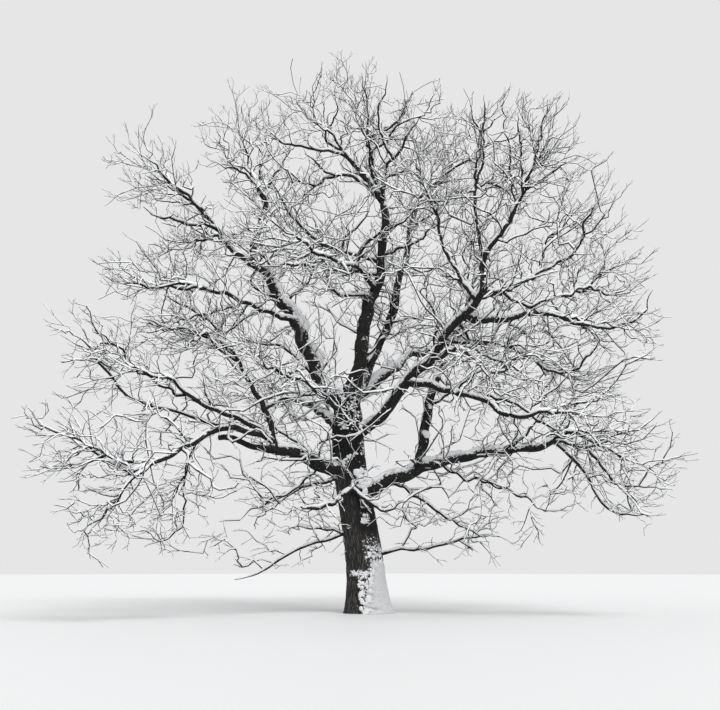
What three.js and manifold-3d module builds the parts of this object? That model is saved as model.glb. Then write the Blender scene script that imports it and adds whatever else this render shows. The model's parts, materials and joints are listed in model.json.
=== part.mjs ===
// A bare old oak in winter: a leaning trunk with a flared foot, thirty main boughs,
// twenty-eight masses of leafless twigs, and the snow packed against the trunk's foot.
// Millimetres and degrees, +Z up, origin in the middle of the flat cut at ground level.
// Bearings turn from +X, the tree's right-hand side, towards +Y, its far side.

import * as THREE from 'three';
import Module from 'manifold-3d';

const wasm = await Module();
wasm.setup();

const UP = new THREE.Vector3(0, 0, 1);
const ORIGIN = new THREE.Vector3(0, 0, 0);

// Clearance that touching pieces keep
const GAP = 0.3;

// Trunk
const TRUNK_RISE = 6500;
const TRUNK_LINE = { bearing: 180, reach: 540, rise: TRUNK_RISE, arch: -80, hook: 100 };
const TRUNK_SIDES = 20;
const TRUNK_RINGS = 16;
const TRUNK_RING_POWER = 1.4;
const WAIST_GIRTH = 1160;
const SHOULDER_GIRTH = 940;
const SHOULDER_HEIGHT = 5500;
const CROWN_GIRTH = 640;
const FLARE_GIRTH = 260;
const FLARE_HEIGHT = 420;
const ROOT_COUNT = 5;
const ROOT_DEPTH = 0.07;
const ROOT_TURN = 40;

// Limbs
const STOUT_GIRTH = 190;
const STOUT_SIDES = 8;
const SLIM_SIDES = 6;
const RING_STEP = 620;
const FEWEST_RINGS = 5;
const TAPER_POWER = 0.8;
const COLLAR = 0.25;
const HEADING_STEP = 0.001;

// Snow packed against the windward side of the trunk's foot
const DRIFT = { bearing: -25, half: 62, height: 1500, foot: 95, top: 22, buried: 60, sides: 9, rings: 7 };
const DRIFT_NARROWING = 0.45;
const DRIFT_EDGE = 0.7;

// Twigs
const STEM_SHARE = 0.78;
const TWIN_STEM_SHARE = 0.4;
const STEM_LEAD = 0.4;
const STEM_RINGS = [0, 0.2, 0.4, 0.6, 0.8, 1];
const STEM_BUDS = [0.3, 0.45, 0.55, 0.66, 0.75, 0.88];
const TWIG_RINGS = [0, 0.6, 1];
const TWIG_BUDS = [0.3, 0.5, 0.75];
const FAR_TWIGS = 7;
const INNER_TWIGS = 1;
const FAR_SHARE = 0.98;
const BACKWARD = -0.45;
const TWIG_SHARE = 0.62;
const TIP_SHARE = 0.4;
const THINNEST = 9;
const DETOUR = 0.35;
const TURN = 0.5;
const LEAVE_ALONG = 0.55;
const LEAVE_LEAD = 0.5;
const SAG = 0.07;
const CLEARANCE = 45;
const APART = 0.05;
const OBSTACLE_STEPS = 12;
const CLEAR_STEPS = 8;
const GOLDEN = Math.PI * (3 - Math.sqrt(5));

// Seeds of the masses, and the sizes of the run of numbers that each seed starts
const MASS_SEED = 101;
const MASS_SEED_STEP = 37;
const RANDOM_FACTOR = 1664525;
const RANDOM_STEP = 1013904223;
const RANDOM_RANGE = 2 ** 32;

const FINISHES = {
  bark: { color: 0x3a3836, roughness: 0.95 },
  twigs: { color: 0x55524f, roughness: 0.95 },
  snow: { color: 0xf1f3f5, roughness: 0.7 },
};

// One row a bough: the limb that it leaves and where, then its own driving sizes
const BOUGHS = {
  leader: { from: 'trunk', at: 0.97, girth: 480, end: 200,
    bearing: 15, reach: 1150, rise: 6750, arch: -220, hook: 80 },
  leader_left: { from: 'leader', at: 0.97, girth: 215, end: 105,
    bearing: 200, reach: 1500, rise: 1700 },
  leader_top: { from: 'leader', at: 0.96, girth: 165, end: 110,
    bearing: 128, reach: 600, rise: 1750, arch: -80, sweep: 90 },
  left_bough: { from: 'trunk', at: 0.88, girth: 540, end: 150,
    bearing: 161, reach: 4550, rise: 6250, arch: 450, hook: -200 },
  left_top: { from: 'left_bough', at: 0.97, girth: 110, end: 85,
    bearing: 223, reach: 1300, rise: 1150, arch: 80 },
  left_riser: { from: 'left_bough', at: 0.8, girth: 240, end: 120,
    bearing: 94, reach: 1400, rise: 3150, sweep: -180, weave: 150 },
  left_mid: { from: 'left_bough', at: 0.46, girth: 150, end: 85,
    bearing: 223, reach: 3700, rise: 500, arch: 90, hook: -50 },
  low_left_bough: { from: 'trunk', at: 0.6, girth: 420, end: 270,
    bearing: 203, reach: 2600, rise: 850, arch: 120 },
  low_left_stub: { from: 'low_left_bough', at: 0.96, girth: 200, end: 145,
    bearing: 202, reach: 1650, rise: 250, hook: -60 },
  low_left_riser: { from: 'low_left_bough', at: 0.94, girth: 195, end: 100,
    bearing: 203, reach: 1250, rise: 2650, arch: 180, hook: 60 },
  low_left_outer: { from: 'low_left_riser', at: 0.14, girth: 150, end: 85,
    bearing: 216, reach: 3100, rise: 1100, arch: -70, hook: 60 },
  low_left_droop: { from: 'low_left_riser', at: 0.06, girth: 185, end: 110,
    bearing: 228, reach: 4430, rise: -1000, arch: 600, hook: 170, sweep: -170 },
  low_left_hanging: { from: 'low_left_droop', at: 0.5, girth: 80, end: 60,
    bearing: 233, reach: 750, rise: -950, arch: 150 },
  low_right_bough: { from: 'trunk', at: 0.47, girth: 390, end: 130,
    bearing: -19, reach: 6150, rise: 1900, arch: 420, hook: 190 },
  right_riser: { from: 'low_right_bough', at: 0.35, girth: 300, end: 150,
    bearing: 64, reach: 3900, rise: 5600, arch: 500 },
  right_bough: { from: 'trunk', at: 0.76, girth: 330, end: 190,
    bearing: -32, reach: 4700, rise: 4300, arch: -110, hook: -20, sweep: 90 },
  right_bough_upper: { from: 'right_bough', at: 0.97, girth: 172, end: 95,
    bearing: -22, reach: 1080, rise: 2450, arch: 250, hook: 100 },
  right_top: { from: 'right_bough_upper', at: 0.35, girth: 110, end: 85,
    bearing: 93, reach: 1000, rise: 2800, sweep: 130 },
  right_inner_riser: { from: 'right_bough', at: 0.92, girth: 125, end: 85,
    bearing: 133, reach: 1380, rise: 2650, arch: -160, sweep: 100 },
  right_outer: { from: 'right_bough', at: 0.82, girth: 235, end: 110,
    bearing: 15, reach: 3400, rise: 150, arch: 50, hook: -150 },
  right_outer_high: { from: 'right_outer', at: 0.6, girth: 120, end: 85,
    bearing: 36, reach: 1850, rise: 850, arch: 180 },
  right_far_riser: { from: 'right_bough', at: 0.95, girth: 160, end: 90,
    bearing: 54, reach: 4450, rise: 2500, arch: -450, hook: 100, sweep: -230 },
  right_sag: { from: 'right_bough', at: 0.4, girth: 175, end: 90,
    bearing: -34, reach: 4250, rise: -1100, arch: -50, hook: 150 },
  right_mid: { from: 'right_bough', at: 0.7, girth: 155, end: 85,
    bearing: 24, reach: 3200, rise: -450, arch: 260, hook: -60 },
  back_stem: { from: 'trunk', at: 0.96, girth: 330, end: 150,
    bearing: 53, reach: 4000, rise: 7600, arch: -280, hook: -140, sweep: -170 },
  back_right: { from: 'trunk', at: 0.93, girth: 380, end: 170,
    bearing: 56, reach: 5300, rise: 2900, arch: 250, sweep: 80 },
  back_left: { from: 'trunk', at: 0.78, girth: 300, end: 150,
    bearing: 117, reach: 4700, rise: 2000, arch: 300 },
  front_left: { from: 'trunk', at: 0.86, girth: 160, end: 90,
    bearing: 246, reach: 3950, rise: 800, arch: 300 },
  front_upper: { from: 'leader', at: 0.55, girth: 140, end: 85,
    bearing: 243, reach: 3400, rise: 100, arch: 200, hook: 60 },
  front_right: { from: 'right_bough', at: 0.58, girth: 130, end: 85,
    bearing: -67, reach: 2800, rise: -700, arch: 350, sweep: 120 },
};

// One row a mass: the bough whose tip its stem meets, and the middle and half sizes of its space.
// Two masses on one tip have their stems on either side of its middle.
const MASSES = {
  crown_top: { bough: 'leader_top', twin: -1, middle: [-400, 800, 16300], half: [1300, 1900, 1750] },
  crown_top_right: { bough: 'leader_top', twin: 1, middle: [1500, 400, 15800], half: [1500, 1900, 1500] },
  crown_top_left: { bough: 'leader_left', middle: [-2000, -700, 15600], half: [1300, 1800, 1600] },
  upper_left: { bough: 'left_riser', middle: [-4300, 2800, 15900], half: [1800, 2200, 2000] },
  left_high: { bough: 'left_top', middle: [-6900, -100, 13500], half: [1700, 1900, 1500] },
  left_shoulder: { bough: 'left_bough', middle: [-6000, 1600, 11900], half: [1700, 2100, 1300] },
  left_middle: { bough: 'left_mid', middle: [-6500, -2100, 9500], half: [1700, 1900, 1100] },
  left_upper_reach: { bough: 'low_left_riser', middle: [-5300, -1900, 8000], half: [1800, 1900, 1150] },
  left_reach: { bough: 'low_left_outer', middle: [-6700, -3600, 6700], half: [1500, 1700, 1100] },
  left_low: { bough: 'low_left_droop', twin: 1, middle: [-7100, -5000, 4200], half: [1700, 1600, 1050] },
  left_fall: { bough: 'low_left_droop', twin: -1, middle: [-6500, -4900, 2600], half: [900, 1100, 750] },
  left_hanging: { bough: 'low_left_hanging', middle: [-5200, -3600, 3000], half: [850, 1100, 1200] },
  front_left_mass: { bough: 'front_left', middle: [-2800, -5200, 6600], half: [1700, 1900, 1200] },
  front_upper_mass: { bough: 'front_upper', middle: [-2200, -4600, 10200], half: [2000, 2200, 1800] },
  front_right_mass: { bough: 'front_right', middle: [3500, -5600, 6300], half: [1800, 2000, 1300] },
  back_top: { bough: 'back_stem', middle: [2600, 4500, 15700], half: [2100, 2400, 2100] },
  back_right_mass: { bough: 'back_right', middle: [3300, 6300, 9800], half: [2300, 2200, 2100] },
  right_riser_mass: { bough: 'right_riser', middle: [4300, 3400, 11600], half: [1900, 1800, 1900] },
  back_left_mass: { bough: 'back_left', middle: [-3300, 5900, 7700], half: [2400, 2400, 2200] },
  right_crown: { bough: 'right_bough_upper', middle: [4900, -3000, 13100], half: [1600, 2000, 1700] },
  right_top_mass: { bough: 'right_top', middle: [3500, -1200, 14400], half: [1400, 1800, 1700] },
  right_inner: { bough: 'right_inner_riser', middle: [1700, -1500, 12900], half: [1500, 1800, 1600] },
  right_far: { bough: 'right_far_riser', middle: [6900, 2000, 12900], half: [1700, 2100, 1700] },
  right_shoulder: { bough: 'right_outer_high', middle: [7500, 0, 10600], half: [1600, 2000, 1600] },
  right_low_shoulder: { bough: 'right_outer', middle: [7400, -1000, 8400], half: [1400, 1800, 1100] },
  right_middle: { bough: 'right_mid', middle: [6500, 200, 7000], half: [1700, 1900, 1100] },
  right_low: { bough: 'right_sag', middle: [5600, -4200, 5200], half: [1400, 1700, 1000] },
  low_right: { bough: 'low_right_bough', middle: [7100, -2600, 4200], half: [1700, 1800, 1600] },
};

// The line of a limb: a chord by bearing, reach and rise, bent in its own upright plane by arch and
// hook, and sideways by sweep and weave. Arch and sweep bow it once, hook and weave bend it twice.
class LimbLine extends THREE.Curve {
  constructor(foot, { bearing, reach, rise, arch = 0, hook = 0, sweep = 0, weave = 0 }) {
    super();
    const turn = THREE.MathUtils.degToRad(bearing);
    const lift = Math.atan2(rise, reach);
    const out = new THREE.Vector3(Math.cos(turn), Math.sin(turn), 0);
    this.foot = foot;
    this.chord = out.clone().multiplyScalar(reach).addScaledVector(UP, rise);
    this.over = out.multiplyScalar(-Math.sin(lift)).addScaledVector(UP, Math.cos(lift));
    this.side = new THREE.Vector3(-Math.sin(turn), Math.cos(turn), 0);
    Object.assign(this, { arch, hook, sweep, weave });
  }

  getPoint(s, target = new THREE.Vector3()) {
    const once = Math.sin(Math.PI * s);
    const twice = Math.sin(2 * Math.PI * s);
    return target.copy(this.foot).addScaledVector(this.chord, s)
      .addScaledVector(this.over, this.arch * once + this.hook * twice)
      .addScaledVector(this.side, this.sweep * once + this.weave * twice);
  }

  heading(s) {
    const ahead = this.getPoint(Math.min(s + HEADING_STEP, 1));
    return ahead.sub(this.getPoint(Math.max(s - HEADING_STEP, 0))).normalize();
  }
}

function smoothstep(from, to, value) {
  const t = THREE.MathUtils.clamp((value - from) / (to - from), 0, 1);
  return t * t * (3 - 2 * t);
}

// Closed skin round a row of points: rings of the given radius, a flat foot, and a flat or pointed end
function skin(points, headings, radiusAt, sides, pointed = false) {
  const vertices = [];
  const triangles = [];
  let across = new THREE.Vector3(1, 0, 0);
  if (Math.abs(headings[0].x) > 0.9) across = new THREE.Vector3(0, 1, 0);
  const rings = pointed ? points.length - 1 : points.length;
  points.slice(0, rings).forEach((point, ring) => {
    const heading = headings[ring];
    across = across.clone().addScaledVector(heading, -across.dot(heading)).normalize();
    const other = heading.clone().cross(across);
    for (let k = 0; k < sides; k += 1) {
      const angle = (2 * Math.PI * k) / sides;
      const radius = radiusAt(ring, angle);
      const vertex = point.clone().addScaledVector(across, radius * Math.cos(angle))
        .addScaledVector(other, radius * Math.sin(angle));
      vertices.push(vertex.x, vertex.y, vertex.z);
    }
  });
  for (let ring = 0; ring < rings - 1; ring += 1) {
    for (let k = 0; k < sides; k += 1) {
      const low = ring * sides + k;
      const next = ring * sides + ((k + 1) % sides);
      triangles.push(low, next, next + sides, low, next + sides, low + sides);
    }
  }
  const last = (rings - 1) * sides;
  for (let k = 1; k < sides - 1; k += 1) {
    triangles.push(0, k + 1, k);
    if (!pointed) triangles.push(last, last + k, last + k + 1);
  }
  if (pointed) {
    vertices.push(...points[rings].toArray());
    for (let k = 0; k < sides; k += 1) triangles.push(last + k, last + ((k + 1) % sides), rings * sides);
  }
  return solid(vertices, triangles);
}

function solid(vertices, triangles) {
  return new wasm.Manifold(new wasm.Mesh({
    numProp: 3,
    vertProperties: new Float32Array(vertices),
    triVerts: new Uint32Array(triangles),
  }));
}

function largestPart(body) {
  const parts = body.decompose();
  return parts.reduce((best, part) => (part.volume() > best.volume() ? part : best), parts[0]);
}

function boxesMeet(a, b) {
  const boxA = a.boundingBox();
  const boxB = b.boundingBox();
  return [0, 1, 2].every((k) => boxA.min[k] < boxB.max[k] && boxB.min[k] < boxA.max[k]);
}

// The trunk stands on its flat cut, flares over its roots and draws in above its shoulder
class Trunk {
  constructor() {
    this.line = new LimbLine(ORIGIN, TRUNK_LINE);
  }

  radius(s) {
    const height = s * TRUNK_RISE;
    const body = THREE.MathUtils.lerp(WAIST_GIRTH, SHOULDER_GIRTH, Math.min(height / SHOULDER_HEIGHT, 1));
    const drawn = smoothstep(SHOULDER_HEIGHT, TRUNK_RISE, height);
    const flare = FLARE_GIRTH * Math.exp(-height / FLARE_HEIGHT);
    return (THREE.MathUtils.lerp(body, CROWN_GIRTH, drawn) + flare) / 2;
  }

  radiusTowards(s, angle) {
    const lobes = Math.cos(ROOT_COUNT * angle + THREE.MathUtils.degToRad(ROOT_TURN));
    const depth = ROOT_DEPTH * Math.exp((-s * TRUNK_RISE) / (2 * FLARE_HEIGHT));
    return this.radius(s) * (1 + depth * lobes);
  }

  // Rings lie closer together over the flare
  body(grow = 0) {
    const shares = Array.from({ length: TRUNK_RINGS + 1 }, (_, i) => (i / TRUNK_RINGS) ** TRUNK_RING_POWER);
    const points = shares.map((s) => this.line.getPoint(s));
    const extra = grow / Math.cos(Math.PI / TRUNK_SIDES);
    points[TRUNK_RINGS].z += grow;
    const radiusAt = (ring, angle) => this.radiusTowards(shares[ring], angle) + extra;
    return skin(points, shares.map(() => UP), radiusAt, TRUNK_SIDES);
  }
}

class Bough {
  constructor(parent, row) {
    this.line = new LimbLine(parent.line.getPoint(row.at), row);
    this.row = row;
    this.buried = parent.radius(row.at);
    this.length = this.line.getLength();
    this.sides = row.girth >= STOUT_GIRTH ? STOUT_SIDES : SLIM_SIDES;
  }

  radius(s) {
    const { girth, end } = this.row;
    const clear = Math.max(0, s * this.length - this.buried);
    const collar = 1 + COLLAR * Math.exp(-clear / girth);
    return (collar * (end + (girth - end) * (1 - s) ** TAPER_POWER)) / 2;
  }

  body(grow = 0) {
    const rings = Math.max(FEWEST_RINGS, Math.ceil(this.length / RING_STEP));
    const shares = Array.from({ length: rings + 1 }, (_, i) => i / rings);
    const points = shares.map((s) => this.line.getPoint(s));
    const headings = shares.map((s) => this.line.heading(s));
    const extra = grow / Math.cos(Math.PI / this.sides);
    points[rings].addScaledVector(headings[rings], grow);
    return skin(points, headings, (ring) => this.radius(shares[ring]) + extra, this.sides);
  }
}

// Snow on the windward side of the foot: a shell that thins upwards and to both edges
function driftBody(trunk) {
  const { bearing, half, height, foot, top, buried, sides, rings } = DRIFT;
  const vertices = [];
  const triangles = [];
  const width = sides + 1;
  const inner = width * (rings + 1);
  for (const outside of [0, 1]) {
    for (let ring = 0; ring <= rings; ring += 1) {
      const z = (height * ring) / rings;
      const s = z / TRUNK_RISE;
      const axis = trunk.line.getPoint(s);
      for (let k = 0; k <= sides; k += 1) {
        const edge = (2 * k) / sides - 1;
        const narrowed = half * (1 - (DRIFT_NARROWING * ring) / rings);
        const angle = THREE.MathUtils.degToRad(bearing + edge * narrowed);
        const middle = THREE.MathUtils.lerp(foot, top, Math.sqrt(ring / rings));
        const depth = middle * (1 - DRIFT_EDGE * edge * edge);
        const radius = trunk.radiusTowards(s, angle) + (outside ? depth : -buried);
        vertices.push(axis.x + radius * Math.cos(angle), axis.y + radius * Math.sin(angle), z);
      }
    }
  }
  const quad = (a, b, c, d) => triangles.push(a, b, c, a, c, d);
  for (let ring = 0; ring < rings; ring += 1) {
    for (let k = 0; k < sides; k += 1) {
      const a = ring * width + k;
      quad(a, a + width, a + width + 1, a + 1);
      quad(inner + a, inner + a + 1, inner + a + width + 1, inner + a + width);
    }
    const left = ring * width;
    const right = left + sides;
    quad(left, inner + left, inner + left + width, left + width);
    quad(right, right + width, inner + right + width, inner + right);
  }
  const topRow = rings * width;
  for (let k = 0; k < sides; k += 1) {
    quad(k, k + 1, inner + k + 1, inner + k);
    quad(topRow + k, inner + topRow + k, inner + topRow + k + 1, topRow + k + 1);
  }
  return largestPart(solid(vertices, triangles).subtract(trunk.body(GAP)));
}

// A run of numbers from 0 to 1 that a seed fixes
function seeded(seed) {
  let state = seed;
  return () => {
    state = (Math.imul(state, RANDOM_FACTOR) + RANDOM_STEP) >>> 0;
    return state / RANDOM_RANGE;
  };
}

// A three-sided twig on a curve of second degree, drawn from a start by a lead point to a pointed end.
// Its solid runs straight from ring to ring, and starts on the middle line of the solid that carries it.
class Twig {
  constructor(start, lead, end, radius, rings, seat = start) {
    Object.assign(this, { start, lead, end, radius, rings, seat });
  }

  point(t) {
    const u = 1 - t;
    return this.start.clone().multiplyScalar(u * u).addScaledVector(this.lead, 2 * u * t)
      .addScaledVector(this.end, t * t);
  }

  heading(t) {
    const early = this.lead.clone().sub(this.start);
    const late = this.end.clone().sub(this.lead);
    return early.multiplyScalar(1 - t).addScaledVector(late, t).normalize();
  }

  thickness(t) {
    return THREE.MathUtils.lerp(this.radius, Math.max(this.radius * TIP_SHARE, THINNEST), t);
  }

  ringPoint(ring) {
    return ring === 0 ? this.seat : this.point(this.rings[ring]);
  }

  middleLine(t) {
    const next = this.rings.findIndex((ring) => ring >= t);
    const share = (t - this.rings[next - 1]) / (this.rings[next] - this.rings[next - 1]);
    return this.ringPoint(next - 1).clone().lerp(this.ringPoint(next), share);
  }

  body() {
    const points = this.rings.map((_, ring) => this.ringPoint(ring));
    const headings = this.rings.map((t) => this.heading(t));
    return skin(points, headings, (ring) => this.thickness(this.rings[ring]), 3, true);
  }
}

// What a twig must not touch: limbs and stems as rows of points with a radius
class Obstacle {
  constructor(points, radii) {
    this.points = points;
    this.radii = radii;
  }

  distance(point) {
    let nearest = Infinity;
    for (let i = 0; i < this.points.length - 1; i += 1) {
      const along = this.points[i + 1].clone().sub(this.points[i]);
      const offset = point.clone().sub(this.points[i]);
      const share = THREE.MathUtils.clamp(offset.dot(along) / along.lengthSq(), 0, 1);
      const radius = THREE.MathUtils.lerp(this.radii[i], this.radii[i + 1], share);
      nearest = Math.min(nearest, offset.addScaledVector(along, -share).length() - radius);
    }
    return nearest;
  }
}

function limbObstacle(limb) {
  const shares = Array.from({ length: OBSTACLE_STEPS + 1 }, (_, i) => i / OBSTACLE_STEPS);
  return new Obstacle(shares.map((s) => limb.line.getPoint(s)), shares.map((s) => limb.radius(s)));
}

class Mass {
  constructor(bough, row, seed) {
    this.middle = new THREE.Vector3(...row.middle);
    this.half = new THREE.Vector3(...row.half);
    this.random = seeded(seed);
    this.twigs = [];
    this.buds = [];
    this.startStem(bough, row.twin ?? 0);
  }

  // Distance from the middle as a share of the space's own half size
  share(point) {
    return point.clone().sub(this.middle).divide(this.half).length();
  }

  startStem(bough, twin) {
    const tip = bough.line.getPoint(1);
    const heading = bough.line.heading(1);
    const tipRadius = bough.radius(1);
    const side = heading.clone().cross(UP).normalize();
    const start = tip.clone().addScaledVector(heading, GAP).addScaledVector(side, (twin * tipRadius) / 2);
    const run = start.distanceTo(this.middle);
    const lead = start.clone().addScaledVector(heading, run * STEM_LEAD);
    const radius = tipRadius * (twin ? TWIN_STEM_SHARE : STEM_SHARE);
    const stem = new Twig(start, lead, this.middle.clone(), radius, STEM_RINGS);
    this.lay(stem, 0, STEM_BUDS);
    const shares = Array.from({ length: OBSTACLE_STEPS + 1 }, (_, i) => i / OBSTACLE_STEPS);
    this.obstacle = new Obstacle(shares.map((t) => stem.point(t)), shares.map((t) => stem.thickness(t)));
  }

  // Lays a twig down, with buds on it where later twigs may leave, one from each
  lay(twig, run, buds) {
    this.twigs.push(twig);
    const length = twig.start.distanceTo(twig.end);
    for (const t of buds) {
      const bud = { twig, t, point: twig.point(t), heading: twig.heading(t) };
      this.buds.push({ ...bud, radius: twig.thickness(t), run: run + t * length });
    }
  }

  // The first targets are spread over the far side of the space, and the later ones fill it
  targets() {
    const far = this.twigs[0].heading(1);
    const spin = this.random() * 2 * Math.PI;
    const list = [];
    const spread = 2 * FAR_TWIGS;
    for (let i = 0; i < spread; i += 1) {
      const z = 1 - (2 * i + 1) / spread;
      const ring = Math.sqrt(1 - z * z);
      const angle = spin + i * GOLDEN;
      const unit = new THREE.Vector3(ring * Math.cos(angle), ring * Math.sin(angle), z);
      if (unit.dot(far) > BACKWARD) list.push(unit.multiplyScalar(FAR_SHARE));
    }
    for (let i = 0; i < INNER_TWIGS; i += 1) {
      const z = 2 * this.random() - 1;
      const angle = 2 * Math.PI * this.random();
      const ring = Math.sqrt(1 - z * z);
      const depth = Math.cbrt(this.random());
      list.push(new THREE.Vector3(ring * Math.cos(angle), ring * Math.sin(angle), z).multiplyScalar(depth));
    }
    return list.map((unit) => unit.multiply(this.half).add(this.middle));
  }

  // The bud that a twig to this target leaves from: near it, early on its own way, and facing it
  bestBud(target) {
    let best = -1;
    let least = Infinity;
    this.buds.forEach((bud, index) => {
      const way = target.clone().sub(bud.point);
      const far = way.length();
      const cost = far + DETOUR * bud.run + TURN * (far - way.dot(bud.heading));
      if (cost < least) {
        least = cost;
        best = index;
      }
    });
    return best;
  }

  grow(neighbours, obstacles) {
    for (const target of this.targets()) {
      const index = this.bestBud(target);
      const bud = this.buds[index];
      const way = target.clone().sub(bud.point);
      const far = way.length();
      const leave = bud.heading.clone().multiplyScalar(LEAVE_ALONG)
        .addScaledVector(way, (1 - LEAVE_ALONG) / far).normalize();
      const lead = bud.point.clone().addScaledVector(leave, far * LEAVE_LEAD).addScaledVector(UP, -SAG * far);
      const radius = Math.max(bud.radius * TWIG_SHARE, THINNEST);
      const twig = new Twig(bud.point, lead, target, radius, TWIG_RINGS, bud.twig.middleLine(bud.t));
      if (this.keepsClear(twig, neighbours, obstacles)) {
        this.buds.splice(index, 1);
        this.lay(twig, bud.run, TWIG_BUDS);
      }
    }
  }

  keepsClear(twig, neighbours, obstacles) {
    for (let i = 2; i <= CLEAR_STEPS; i += 1) {
      const point = twig.point(i / CLEAR_STEPS);
      const own = this.share(point);
      if (own > 1) return false;
      if (neighbours.some((mass) => mass !== this && mass.share(point) < own + APART)) return false;
      if (obstacles.some((limb) => limb !== this.obstacle && limb.distance(point) < CLEARANCE)) return false;
    }
    return true;
  }

  body() {
    return this.twigs.map((twig) => twig.body()).reduce((whole, next) => whole.add(next));
  }
}

function meshOf(name, body, slot) {
  const { numProp, vertProperties, triVerts } = body.getMesh();
  const geometry = new THREE.BufferGeometry();
  const positions = new Float32Array((vertProperties.length / numProp) * 3);
  for (let i = 0; i < positions.length; i += 1) {
    positions[i] = vertProperties[Math.floor(i / 3) * numProp + (i % 3)];
  }
  geometry.setAttribute('position', new THREE.BufferAttribute(positions, 3));
  geometry.setIndex(Array.from(triVerts));
  geometry.computeVertexNormals();
  const mesh = new THREE.Mesh(geometry, new THREE.MeshStandardMaterial({ ...FINISHES[slot], metalness: 0 }));
  mesh.name = name;
  return mesh;
}

// Each limb is cut back from those before it, so that its foot fits round them with the gap
function buildLimbs() {
  const trunk = new Trunk();
  const limbs = { trunk };
  const bodies = { trunk: trunk.body() };
  const grown = { trunk: trunk.body(GAP) };
  for (const [name, row] of Object.entries(BOUGHS)) {
    const bough = new Bough(limbs[row.from], row);
    let body = bough.body();
    for (const other of Object.values(grown)) {
      if (boxesMeet(body, other)) body = body.subtract(other);
    }
    limbs[name] = bough;
    bodies[name] = largestPart(body);
    grown[name] = bough.body(GAP);
  }
  return { limbs, bodies };
}

function buildMasses(limbs) {
  const masses = {};
  Object.entries(MASSES).forEach(([name, row], index) => {
    masses[name] = new Mass(limbs[row.bough], row, MASS_SEED + MASS_SEED_STEP * index);
  });
  const all = Object.values(masses);
  const obstacles = [...Object.values(limbs).map(limbObstacle), ...all.map((mass) => mass.obstacle)];
  all.forEach((mass) => mass.grow(all, obstacles));
  return masses;
}

const group = new THREE.Group();
const { limbs, bodies } = buildLimbs();
Object.entries(bodies).forEach(([name, body]) => group.add(meshOf(name, body, 'bark')));
Object.entries(buildMasses(limbs)).forEach(([name, mass]) => group.add(meshOf(name, mass.body(), 'twigs')));
group.add(meshOf('foot_snow', driftBody(limbs.trunk), 'snow'));

export default group;
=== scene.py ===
"""A bare old oak in winter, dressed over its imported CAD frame.

The trunk and the boughs get skins with furrowed bark, each mass of twigs is grown by the source's rule and
then carried on to finer twigs, and settled snow lies along the wood. Lengths are in metres, apart from the
rows of limbs and masses, which keep the source's millimetres and degrees. Bearings turn from +X, the tree's
right-hand side, towards +Y, its far side.
"""

import json
import logging
import math
from dataclasses import dataclass, field
from enum import Enum
from typing import Any, Callable, Sequence

import bpy
import numpy as np
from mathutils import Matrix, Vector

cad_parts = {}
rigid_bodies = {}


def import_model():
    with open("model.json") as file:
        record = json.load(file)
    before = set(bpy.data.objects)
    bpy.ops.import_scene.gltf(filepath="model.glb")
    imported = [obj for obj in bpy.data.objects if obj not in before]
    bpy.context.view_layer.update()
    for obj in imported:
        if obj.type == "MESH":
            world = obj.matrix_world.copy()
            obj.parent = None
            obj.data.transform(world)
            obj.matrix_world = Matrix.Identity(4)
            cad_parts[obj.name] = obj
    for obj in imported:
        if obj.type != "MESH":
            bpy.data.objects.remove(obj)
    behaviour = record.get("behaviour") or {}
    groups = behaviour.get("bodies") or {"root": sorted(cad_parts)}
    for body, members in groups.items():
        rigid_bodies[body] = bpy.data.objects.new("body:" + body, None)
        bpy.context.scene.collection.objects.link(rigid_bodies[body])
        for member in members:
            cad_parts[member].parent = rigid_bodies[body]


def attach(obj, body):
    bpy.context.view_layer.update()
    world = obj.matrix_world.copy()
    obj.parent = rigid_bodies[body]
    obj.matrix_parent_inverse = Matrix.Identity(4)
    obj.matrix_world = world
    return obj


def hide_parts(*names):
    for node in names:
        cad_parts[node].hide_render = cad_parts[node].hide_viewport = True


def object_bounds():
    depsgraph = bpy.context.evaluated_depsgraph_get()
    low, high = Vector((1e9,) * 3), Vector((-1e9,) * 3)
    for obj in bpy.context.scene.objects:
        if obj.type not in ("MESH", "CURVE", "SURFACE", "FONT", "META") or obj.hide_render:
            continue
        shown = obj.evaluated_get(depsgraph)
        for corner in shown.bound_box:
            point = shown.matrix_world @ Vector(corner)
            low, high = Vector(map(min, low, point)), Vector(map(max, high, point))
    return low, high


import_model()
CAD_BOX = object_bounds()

log = logging.getLogger("bare_oak")

Array = np.ndarray
Span = tuple[float, float]
Triple = tuple[float, float, float]
Colour = Triple

MM = 0.001
UP = np.array([0.0, 0.0, 1.0])
TINY = 1e-9


@dataclass(frozen=True)
class BoughRow:
    """One limb: the limb that it leaves and where, then its driving sizes in millimetres and degrees."""

    parent: str
    at: float
    bearing: float
    reach: float
    rise: float
    girth: float
    end: float
    arch: float = 0
    hook: float = 0
    sweep: float = 0
    weave: float = 0


@dataclass(frozen=True)
class MassRow:
    """One mass of twigs: the bough whose tip its stem meets, then its space's sizes in millimetres.

    The space is an egg by its middle and its half sizes. Where two masses share a bough, their stems stand to
    either side of its tip, by twin.
    """

    bough: str
    middle: Sequence[float]
    half: Sequence[float]
    twin: int = 0


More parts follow.
